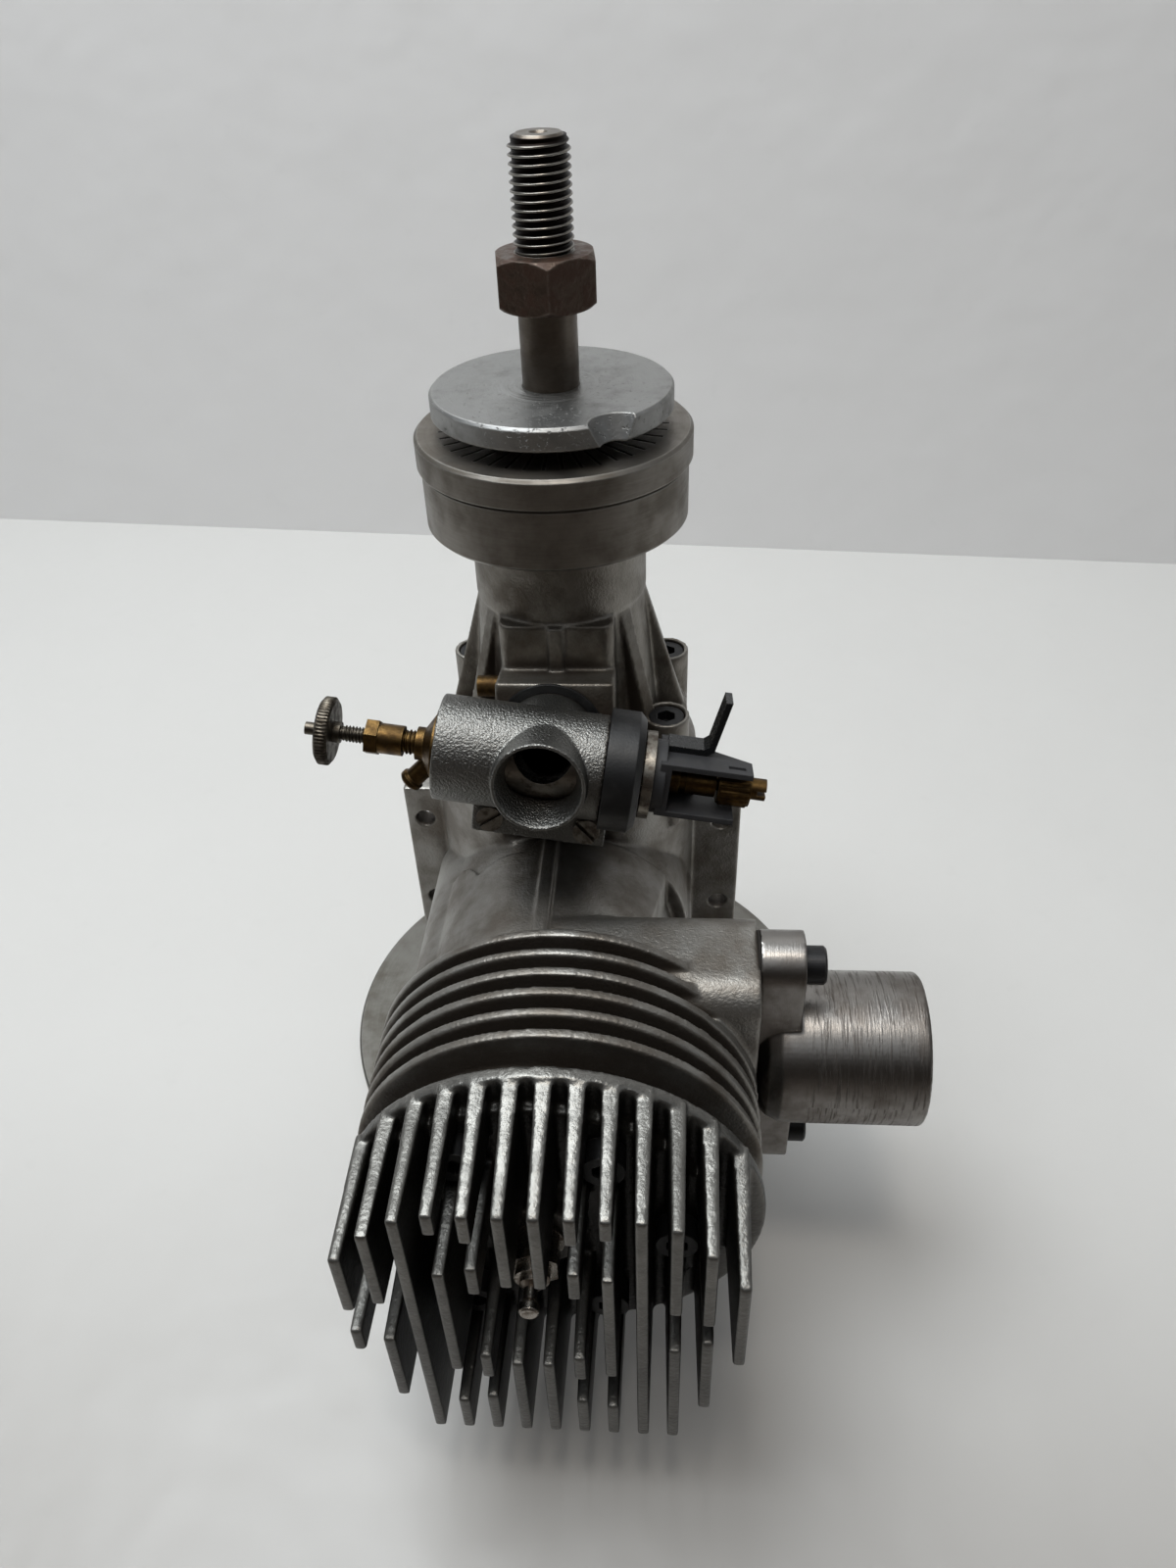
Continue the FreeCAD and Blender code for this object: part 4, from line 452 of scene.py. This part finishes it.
def head_fin(points, faces, index):
    away = (index - (FIN_COUNT - 1) / 2) * FIN_PITCH
    x = HEAD_MIDDLE + away
    rim_top = math.sqrt(HEAD_RADIUS ** 2 - away ** 2) - 0.2
    front_top = min(rim_top, FIN_FRONT_TOP) - FIN_EXTRA_DROP.get(index, 0.0)
    bottom = -FIN_LOW + FIN_LOW_SLOPE * max(0.0, abs(away) - FIN_LOW_HALF)
    for low, high in fin_stretches(x, bottom, front_top):
        back_top = rim_top if high == front_top else high
        side = []
        for sign in (-1, 1):
            root, tip = x + sign * FIN_ROOT_HALF, x + sign * FIN_TIP_HALF
            side.append([head_point(root, low, HEAD_BACK + 1), head_point(tip, low, HEAD_FRONT),
                         head_point(tip, high, HEAD_FRONT), head_point(root, back_top, HEAD_BACK + 1)])
        prism(points, faces, side[0], side[1])


def head_mesh():
    points, faces = [], []
    head_disc(points, faces, HEAD_MIDDLE, 0, HEAD_RADIUS, HEAD_BACK, HEAD_RIM)
    head_disc(points, faces, 0, 0, SPIGOT_RADIUS, HEAD_BACK - SPIGOT_DEPTH, HEAD_BACK + 0.5)
    head_disc(points, faces, 0, 0, SEAT_RADIUS, HEAD_RIM - 0.5, HEAD_SEAT)
    head_disc(points, faces, 0, 0, PLUG_BOSS_RADIUS, HEAD_SEAT - 0.5, PLUG_BOSS_FRONT)
    for index in range(FIN_COUNT):
        head_fin(points, faces, index)
    return mesh_of("finned_head", points, faces)


def new_piece(name, mesh, finish, body):
    piece = bpy.data.objects.new(name, mesh)
    bpy.context.scene.collection.objects.link(piece)
    mesh.materials.append(finish.material)
    mesh.shade_smooth()
    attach(piece, body)
    return piece


def head_casting():
    head = Finish("head_casting", HEAD_BRIGHT, 0.9, 0.42)
    # Painted light and shade: lighter towards the top, darker in the gaps between the fins and on their flanks.
    painted_top_light = head.between(head.parts(head.place)[2], 0.040, 0.080)
    patches = head.between(head.grain(5.0, 5.0), 0.36, 0.66)
    open_to_light = head.between(head.openness(7.0), 0.45, 0.80)
    sideways = head.parts(head.node("ShaderNodeNewGeometry", {}, {}, "Normal"))[0]
    flank_oil_and_shade = head.between(sideways.maths("ABSOLUTE", sideways), 0.60, 0.92)
    # clean mixes this painted light and shade with real soot patches, between soot-black and bright metal.
    clean = open_to_light * (1.0 - flank_oil_and_shade * 0.93) * (0.60 + painted_top_light * 0.40) * (1.0 - patches * 0.30)
    head.set("Base Color", head.mix(clean, HEAD_SOOT_AND_SHADE, HEAD_BRIGHT))
    head.set("Metallic", 0.30 + clean * 0.60)
    head.set("Roughness", 0.40 - clean * 0.08)
    head.relief(head.grain(0.8, 3.0) + head.grain(3.0, 2.0), 0.13)
    return head


head = new_piece("finned_head", head_mesh(), head_casting(), "engine")
soften(head, HEAD_VOXEL, HEAD_SMOOTHING)
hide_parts("cylinder_head")

# Screws: black-oxided socket screws that hold the head, the housing, the disc and the rear cover, and the small
# one that stops the carburettor's barrel. Keys have worn the black off their edges.
BLACK_OXIDE = (0.014, 0.014, 0.015)
WORN_OXIDE = (0.12, 0.115, 0.11)
SCREWS = ("head_screws", "front_housing_screws", "disc_screws", "rear_cover_screws", "barrel_stop_screw")


def black_steel(name, color, roughness):
    steel = Finish(name, color, 0.5, roughness)
    worn = steel.edge(0.35) * steel.between(steel.grain(1.5, 4.0), 0.35, 0.60)
    steel.set("Base Color", steel.mix(worn * 0.7, color, WORN_OXIDE))
    steel.set("Roughness", roughness + steel.grain(0.7, 3.0) * 0.2 - 0.1)
    steel.relief(steel.grain(0.4, 2.0), 0.02, 0.25)
    return steel


paint(black_steel("screw_steel", BLACK_OXIDE, 0.38), *SCREWS)

# Glow plug: a nickelled steel hexagon screwed into the head on a thin washer, with the button post that the glow
# lead clips to. Heat has stained it brown.
PLUG_STEEL = (0.42, 0.39, 0.35)
PLUG_STAIN = (0.10, 0.065, 0.04)


def plated(name, color, roughness, stain_color):
    metal = Finish(name, color, 1.0, roughness)
    stain = metal.between(metal.grain(1.6, 5.0), 0.42, 0.66)
    metal.set("Base Color", metal.mix(stain * 0.85, color, stain_color))
    metal.set("Roughness", roughness + stain * 0.2)
    metal.relief(metal.grain(0.5, 3.0), 0.03, 0.2)
    return metal


plug_metal = plated("plug_metal", PLUG_STEEL, 0.26, PLUG_STAIN)
paint(plug_metal, "glow_plug_body", "glow_plug_post", "glow_plug_washer")

# Exhaust adapter: a flange bar held by two screws, with a tube turned in one with it. The tube is wider than the
# bar, so its rounded foot stands out in front of it. Clamps have scored it all round. A thin gasket seals it, and
# lengths are in millimetres from the shaft's axis.
TUBE_METAL = (0.27, 0.257, 0.243)
TUBE_SCORE = (0.060, 0.048, 0.040)
TUBE_STAIN = (0.10, 0.08, 0.065)
JOINT_BLACK = (0.02, 0.017, 0.014)
TUBE_AXIS = (0.0, -56.0 * MM, 58.0 * MM)
TUBE_START = 46.0 * MM
TUBE_PROFILE = ((37.6, 0.0), (37.6, 8.5), (38.2, 10.9), (39.8, 12.9), (42.2, 14.1), (44.5, 14.3), (68.1, 14.3),
                (68.6, 13.9), (68.6, 12.8), (68.3, 12.5), (45.0, 12.5), (45.0, 0.0))
BAR_START = 37.5
BAR_END = 45.4
BAR_RADIUS = 6.2
BAR_SCREWS = (34.8, 81.2)
BAR_Y = -57.0
BAR_STEPS = 64
TUBE_STEPS = 96
TUBE_VOXEL = 0.28
TUBE_SMOOTHING = 3
GASKET_START = 37.1
GASKET_INSET = 0.2
SOCKET_HALF = 1.5
CAP_STEPS = 48


def rings(levels, steps):
    """Faces between each ring of points and the next one."""
    faces = []
    for level in range(levels - 1):
        for step in range(steps):
            a, b = level * steps, (level + 1) * steps
            after = (step + 1) % steps
            faces.append((a + step, a + after, b + after, b + step))
    return faces


def lathed(profile, steps, place):
    """Points and faces turned from (along, radius) pairs; a radius may be a function of the angle."""
    points = []
    for along, radius in profile:
        for step in range(steps):
            angle = 2 * math.pi * step / steps
            reach = radius(angle) if callable(radius) else radius
            points.append(place @ (Vector((along, reach * math.cos(angle), reach * math.sin(angle))) * MM))
    return points, rings(len(profile), steps)


def bar_outline(x, radius):
    """Round-ended outline of the flange bar at x."""
    low, high = BAR_SCREWS
    outline = []
    for half_turns, centre in ((0, high), (1, low)):
        for step in range(BAR_STEPS + 1):
            turn = math.pi * (half_turns + step / BAR_STEPS)
            outline.append(Vector((x, BAR_Y + radius * math.cos(turn), centre + radius * math.sin(turn))) * MM)
    return outline


def bar(points, faces, low, high, radius):
    prism(points, faces, bar_outline(high, radius), bar_outline(low, radius))


def adapter_mesh():
    points, faces = lathed(TUBE_PROFILE, TUBE_STEPS, Matrix.Translation(TUBE_AXIS))
    bar(points, faces, BAR_START, BAR_END, BAR_RADIUS)
    return mesh_of("exhaust_flange", points, faces)


def scored_tube():
    metal = Finish("scored_tube", TUBE_METAL, 1.0, 0.34)
    on_tube = metal.between(metal.parts(metal.place)[0], TUBE_START, TUBE_START + 2.0 * MM)
    round_lines = metal.round_place(0, TUBE_AXIS, (1.0, 0.25, 0.0011))
    scores = metal.between(metal.grain(0.50, 3.0, where=round_lines), 0.48, 0.68)
    fine = metal.grain(0.22, 2.0, where=round_lines)
    stain = metal.between(metal.grain(9.0, 5.0), 0.40, 0.66)
    worn = metal.mix(scores * on_tube * 0.6, TUBE_METAL, TUBE_SCORE)
    rubbed = metal.edge(0.5)
    shade = metal.mix(stain * 0.6, worn, TUBE_STAIN)
    metal.set("Base Color", metal.mix(rubbed * 0.5, shade, RUBBED_CAST))
    metal.set("Roughness", 0.30 + scores * on_tube * 0.18 + stain * 0.10)
    metal.relief(scores * on_tube * 0.8 + fine * 0.5 + metal.grain(0.6, 2.0) * 0.3, 0.045)
    return metal


adapter = new_piece("exhaust_flange", adapter_mesh(), scored_tube(), "engine")
soften(adapter, TUBE_VOXEL, TUBE_SMOOTHING)
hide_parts("exhaust_adapter")


def gasket_mesh():
    points, faces = [], []
    bar(points, faces, GASKET_START, BAR_START, BAR_RADIUS - GASKET_INSET)
    return mesh_of("exhaust_joint", points, faces)


joint = new_piece("exhaust_joint", gasket_mesh(), black_steel("joint_black", JOINT_BLACK, 0.7), "engine")
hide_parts("exhaust_gasket")


def socket_radius(angle):
    """Distance to the side of a hexagon socket."""
    return SOCKET_HALF / math.cos((angle % (math.pi / 3)) - math.pi / 6)


CAP_HEAD = ((45.2, 0.0), (45.2, 3.4), (45.5, 3.5), (48.9, 3.5), (49.3, 3.1), (49.3, socket_radius),
            (47.3, socket_radius), (47.3, 0.0))
cap_steel = black_steel("cap_steel", BLACK_OXIDE, 0.38)
for number, height in enumerate(BAR_SCREWS, 1):
    name = f"exhaust_screw_{number}"
    cap = mesh_of(name, *lathed(CAP_HEAD, CAP_STEPS, Matrix.Translation(Vector((0.0, BAR_Y, height)) * MM)))
    screw = new_piece(name, cap, cap_steel, "engine")
    screw.data.shade_flat()
    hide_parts("exhaust_screws")

# Propeller driver: turned aluminium with a groove round it, wedged on the shaft by a split collet. The teeth cut
# in its face grip the propeller.
DRIVER_METAL = (0.225, 0.210, 0.190)
paint(turned_metal("driver_metal", DRIVER_METAL, 2, (0, 0, 0), 0.35, 0.38, 0.04), "prop_driver")

# Propeller washer: a thick turned aluminium plate that the nut presses on the propeller. It is pitted and
# scratched, with deep rings from its facing cut round the shaft.
WASHER_METAL = (0.30, 0.30, 0.295)
WASHER_DARK = (0.13, 0.125, 0.115)
WASHER_RUBBED = (0.62, 0.61, 0.58)


def washer_face():
    metal = Finish("washer_metal", WASHER_METAL, 1.0, 0.38)
    x, y = metal.parts(metal.place)[:2]
    radius = (x * x + y * y) ** 0.5
    ringed = 1.0 - metal.between(radius, 8.0 * MM, 11.5 * MM)
    lines = metal.grain(0.45, 3.0, where=metal.round_place(2, (0, 0, 0), (0.6, 1.0, 0.0010)))
    deep = metal.grain(0.9, 1.0, where=metal.round_place(2, (0, 0, 0), (0.2, 1.0, 0.0006)))
    pits = metal.between(metal.grain(0.8, 5.0), 0.58, 0.70)
    smear = metal.between(metal.grain(6.0, 5.0), 0.40, 0.70)
    dark = metal.mix(smear * 0.45 + pits * 0.5, WASHER_METAL, WASHER_DARK)
    metal.set("Base Color", metal.mix(metal.edge(0.4) * 0.5, dark, WASHER_RUBBED))
    metal.set("Roughness", 0.34 + smear * 0.16 + lines * 0.10)
    metal.relief(lines * 0.5 + deep * ringed * 2.5 - pits, 0.09, 0.4)
    return metal


paint(washer_face(), "prop_washer")

# Propeller shaft: dark hardened steel, plain where the propeller sits and threaded above it for the nut. The
# thread is a sleeve on the CAD's plain bar. The bearings' races and the pins inside are of the same steel.
SHAFT_STEEL = (0.17, 0.148, 0.127)
THREAD_BRIGHT = (0.27, 0.255, 0.23)
THREAD_ROOT_DARK = (0.012, 0.009, 0.008)
THREAD_PITCH = 1.27
THREAD_CREST = 5.0
THREAD_ROOT = 4.37
THREAD_LOW = 186.6
THREAD_HIGH = 203.9
THREAD_FLAT = 0.35
THREAD_FLANK = 0.5
THREAD_STEPS = 96
THREAD_ROWS = 10


def thread_profile(phase):
    """Height of the thread, 0 at its root and 1 on its crest, along one pitch."""
    away = abs(2.0 * (phase % 1.0) - 1.0)
    return min(1.0, max(0.0, (away - THREAD_FLAT) / THREAD_FLANK))


def threaded(name, crest, root, pitch, low, high, place):
    """Sleeve with a screw thread along Z, in millimetres, moved into place."""
    rows = round((high - low) / pitch * THREAD_ROWS)
    points = []
    for row in range(rows + 1):
        height = low + (high - low) * row / rows
        fade = min(1.0, (high - height) / pitch, (height - low) / pitch)
        for step in range(THREAD_STEPS):
            turn = step / THREAD_STEPS
            radius = root + (crest - root) * fade * thread_profile(height / pitch - turn)
            angle = 2 * math.pi * turn
            points.append(Vector((radius * math.cos(angle), radius * math.sin(angle), height)) * MM)
    faces = rings(rows + 1, THREAD_STEPS)
    faces.append(tuple(reversed(range(THREAD_STEPS))))
    faces.append(tuple(range(rows * THREAD_STEPS, (rows + 1) * THREAD_STEPS)))
    return mesh_of(name, [place @ point for point in points], faces)


shaft_steel = turned_metal("shaft_steel", SHAFT_STEEL, 2, (0, 0, 0), 0.30, 0.30, 0.03)
paint(shaft_steel, "crankshaft", "rear_bearing_inner", "nose_bearing_inner", "rear_bearing_outer",
      "nose_bearing_outer", "crankpin", "wrist_pin", "wrist_pin_clips", "piston_ring")


def thread_steel():
    """Bright on the crests and dark in the roots between them."""
    steel = Finish("thread_steel", SHAFT_STEEL, 1.0, 0.28)
    x, y = steel.parts(steel.place)[:2]
    crest = steel.between((x * x + y * y) ** 0.5, (THREAD_ROOT + 0.25) * MM, (THREAD_CREST - 0.05) * MM)
    steel.set("Base Color", steel.mix(crest, THREAD_ROOT_DARK, THREAD_BRIGHT))
    steel.set("Roughness", 0.45 - crest * 0.20)
    steel.relief(steel.grain(0.4, 3.0), 0.02)
    return steel


shaft_sleeve = threaded("shaft_thread", THREAD_CREST, THREAD_ROOT, THREAD_PITCH, THREAD_LOW, THREAD_HIGH,
                        Matrix.Identity(4))
new_piece("shaft_thread", shaft_sleeve, thread_steel(), "crank")

# Propeller nut: a forged steel hexagon gone brown with rust, screwed down the shaft on the washer. Spanners have
# rubbed its corners.
NUT_RUST = (0.055, 0.026, 0.015)
NUT_STEEL = (0.085, 0.062, 0.048)
NUT_RUBBED = (0.24, 0.20, 0.17)


def rusty_steel():
    nut = Finish("rusty_steel", NUT_STEEL, 0.8, 0.5)
    rust = nut.between(nut.grain(2.6, 6.0), 0.36, 0.62)
    rubbed = nut.edge(0.6) * nut.between(nut.grain(1.5, 4.0), 0.35, 0.6)
    shade = nut.mix(rust, NUT_STEEL, NUT_RUST)
    nut.set("Base Color", nut.mix(rubbed * 0.7, shade, NUT_RUBBED))
    nut.set("Metallic", 0.85 - rust * 0.5)
    nut.set("Roughness", 0.34 + rust * 0.22)
    nut.relief(nut.grain(0.8, 5.0) + rust * 0.5, 0.12, 0.35)
    return nut


paint(rusty_steel(), "prop_nut")

# Carburettor body: a small blasted aluminium casting, its grain sharp enough to sparkle. Its neck sits in the
# intake block, and two slotted screws hold it there.
CARB_CLEAN = (0.185, 0.182, 0.172)
CARB_STAIN_AND_SHADE = (0.060, 0.048, 0.038)
CARB_VOXEL = 0.25
CARB_SMOOTHING = 3


def blasted_body():
    body = Finish("carb_casting", CARB_CLEAN, 0.95, 0.36)
    speck = body.grain(0.42, 2.0)
    # Painted shade: the corners darken, mixed with patchy stains by the noise below.
    painted_corner_shade = 1.0 - body.between(body.openness(4.0), 0.35, 0.85)
    stain = body.between(painted_corner_shade + body.grain(4.0, 5.0) * 0.6 - 0.3, 0.15, 0.80)
    metal = body.mix(stain * 0.85, CARB_CLEAN, CARB_STAIN_AND_SHADE)
    body.set("Base Color", body.mix(body.edge(0.5) * 0.6, metal, RUBBED_BRIGHT))
    body.set("Roughness", 0.32 + stain * 0.2)
    body.relief(speck, 0.22)
    return body


paint(blasted_body(), "carb_body")
soften(nodes["carb_body"], CARB_VOXEL, CARB_SMOOTHING)

# Brass: turned pieces screwed into the carburettor and the block, which are the needle's seat and nut, the fuel
# nipple, the plug, the idle tube and its screw. All are dulled to brown. The bronze inside looks like them.
BRASS_WARM = (0.135, 0.080, 0.028)
BRASS_DARK = (0.040, 0.024, 0.012)
BRASS_RUBBED = (0.26, 0.18, 0.075)


def old_brass():
    brass = Finish("old_brass", BRASS_WARM, 1.0, 0.34)
    age = brass.between(brass.grain(2.2, 5.0), 0.30, 0.66)
    rubbed = brass.edge(0.4)
    shade = brass.mix(age * 0.85, BRASS_WARM, BRASS_DARK)
    brass.set("Base Color", brass.mix(rubbed * 0.5, shade, BRASS_RUBBED))
    brass.set("Roughness", 0.28 + age * 0.22)
    brass.relief(brass.grain(0.5, 4.0), 0.04, 0.2)
    return brass


brass = old_brass()
paint(brass, "needle_seat", "needle_nut", "fuel_nipple", "intake_plug", "idle_tube", "idle_screw", "big_end_bush",
      "small_end_bush", "drive_collet", "cylinder_liner")

# Mixture needle and wheel: a threaded needle with a knurled wheel that the fingers turn. The knurls and threads
# here, and those on the needle's seat and the idle screw, are sleeves on the CAD's plain bars. A knurl is given by
# its crest and root radius, its start and end along the barrel and its teeth; a thread has its pitch third.
WHEEL_STEEL = (0.125, 0.110, 0.090)
WHEEL_STAIN = (0.045, 0.036, 0.026)
WHEEL_KNURL = (6.15, 5.8, 37.95, 40.15, 60)
IDLE_SCREW_KNURL = (3.65, 3.25, 31.25, 36.75, 22)
NEEDLE_THREAD = (1.5, 1.2, 0.6, 32.2, 36.4)
SEAT_THREAD = (2.3, 1.95, 0.7, 23.0, 25.2)
KNURL_BEVEL = 0.35
KNURL_SINK = 0.15
wheel_steel = plated("wheel_steel", WHEEL_STEEL, 0.34, WHEEL_STAIN)
paint(wheel_steel, "needle_wheel", "mixture_needle")
BARREL_TILT = math.radians(8.0)
CARB_TILT = math.radians(12.0)
BARREL_ORIGIN = Vector((-1.0, -37.007, 111.241)) * MM


def along_barrel(sign):
    """Places a piece drawn along Z on the carburettor barrel's axis, outward from its middle."""
    out = Vector((math.cos(BARREL_TILT), -math.sin(BARREL_TILT) * math.sin(CARB_TILT),
                  -math.sin(BARREL_TILT) * math.cos(CARB_TILT))) * sign
    side = out.cross(Vector((0, 1, 0))).normalized()
    turn = Matrix((side, out.cross(side), out)).transposed()
    return Matrix.Translation(BARREL_ORIGIN) @ turn.to_4x4()


def knurled(name, crest, root, low, high, teeth, place):
    """Band of straight knurls round a bar, in millimetres, with its ends bevelled."""
    levels = ((low, root - KNURL_SINK), (low + KNURL_BEVEL, crest), (high - KNURL_BEVEL, crest),
              (high, root - KNURL_SINK))
    steps = teeth * 4
    points = []
    for height, reach in levels:
        for step in range(steps):
            radius = min(reach, root if step % 4 < 2 else crest)
            angle = 2 * math.pi * step / steps
            points.append(place @ (Vector((radius * math.cos(angle), radius * math.sin(angle), height)) * MM))
    caps = [tuple(reversed(range(steps))), tuple(range(len(points) - steps, len(points)))]
    return mesh_of(name, points, caps + rings(len(levels), steps))


needle_side = along_barrel(-1)
new_piece("wheel_knurl", knurled("wheel_knurl", *WHEEL_KNURL, needle_side), wheel_steel, "needle")
new_piece("needle_thread", threaded("needle_thread", *NEEDLE_THREAD, needle_side), wheel_steel, "needle")
new_piece("seat_thread", threaded("seat_thread", *SEAT_THREAD, needle_side), brass, "engine")
new_piece("idle_screw_knurl", knurled("idle_screw_knurl", *IDLE_SCREW_KNURL, along_barrel(1)), brass,
          "idle_screw")

# Carburettor barrel, screws and thrust washer: bright turned steel. The barrel turns in the body to open the
# intake, the washer runs between it and the arm, and fuel has stained all of them.
BARREL_STEEL = (0.26, 0.24, 0.21)
BARREL_STAIN = (0.09, 0.07, 0.055)
barrel_steel = plated("barrel_steel", BARREL_STEEL, 0.30, BARREL_STAIN)
paint(barrel_steel, "throttle_barrel", "carb_screws", "thrust_washer")

# Boot, arm and lever: black mouldings clamped on the barrel's end, with a thin blacked steel lever on top.
BOOT_BLACK = (0.0045, 0.0045, 0.005)
BOOT_DUST = (0.022, 0.021, 0.020)
ARM_BLACK = (0.022, 0.022, 0.024)
ARM_DUST = (0.050, 0.047, 0.045)
LEVER_BLACK = (0.012, 0.013, 0.014)


def black_moulding(name, color, roughness, dusty):
    black = Finish(name, color, 0.0, roughness)
    dust = black.between(black.grain(5.0, 6.0), 0.45, 0.75)
    black.set("Base Color", black.mix(dust * 0.5, color, dusty))
    black.set("Roughness", roughness + dust * 0.15)
    black.relief(black.grain(0.5, 3.0), 0.03, 0.35)
    return black


paint(black_moulding("boot_rubber", BOOT_BLACK, 0.42, BOOT_DUST), "barrel_boot", "carb_seal")
paint(black_moulding("arm_plastic", ARM_BLACK, 0.55, ARM_DUST), "throttle_arm")
paint(black_steel("lever_steel", LEVER_BLACK, 0.26), "throttle_lever")

# Inside: the piston and rod, machined from aluminium bar and out of sight, and the fibre gaskets that seal the
# rear cover and the head, of which only the edges show.
INNER_METAL = (0.5, 0.5, 0.49)
CYLINDER_AXIS = (0, 0, 58.0 * MM)
GASKET_FIBRE = (0.03, 0.025, 0.02)
paint(turned_metal("inner_metal", INNER_METAL, 1, CYLINDER_AXIS, 0.3, 0.3), "piston", "connecting_rod")
paint(black_moulding("gasket_fibre", GASKET_FIBRE, 0.8, ARM_DUST), "rear_gasket", "head_gasket")
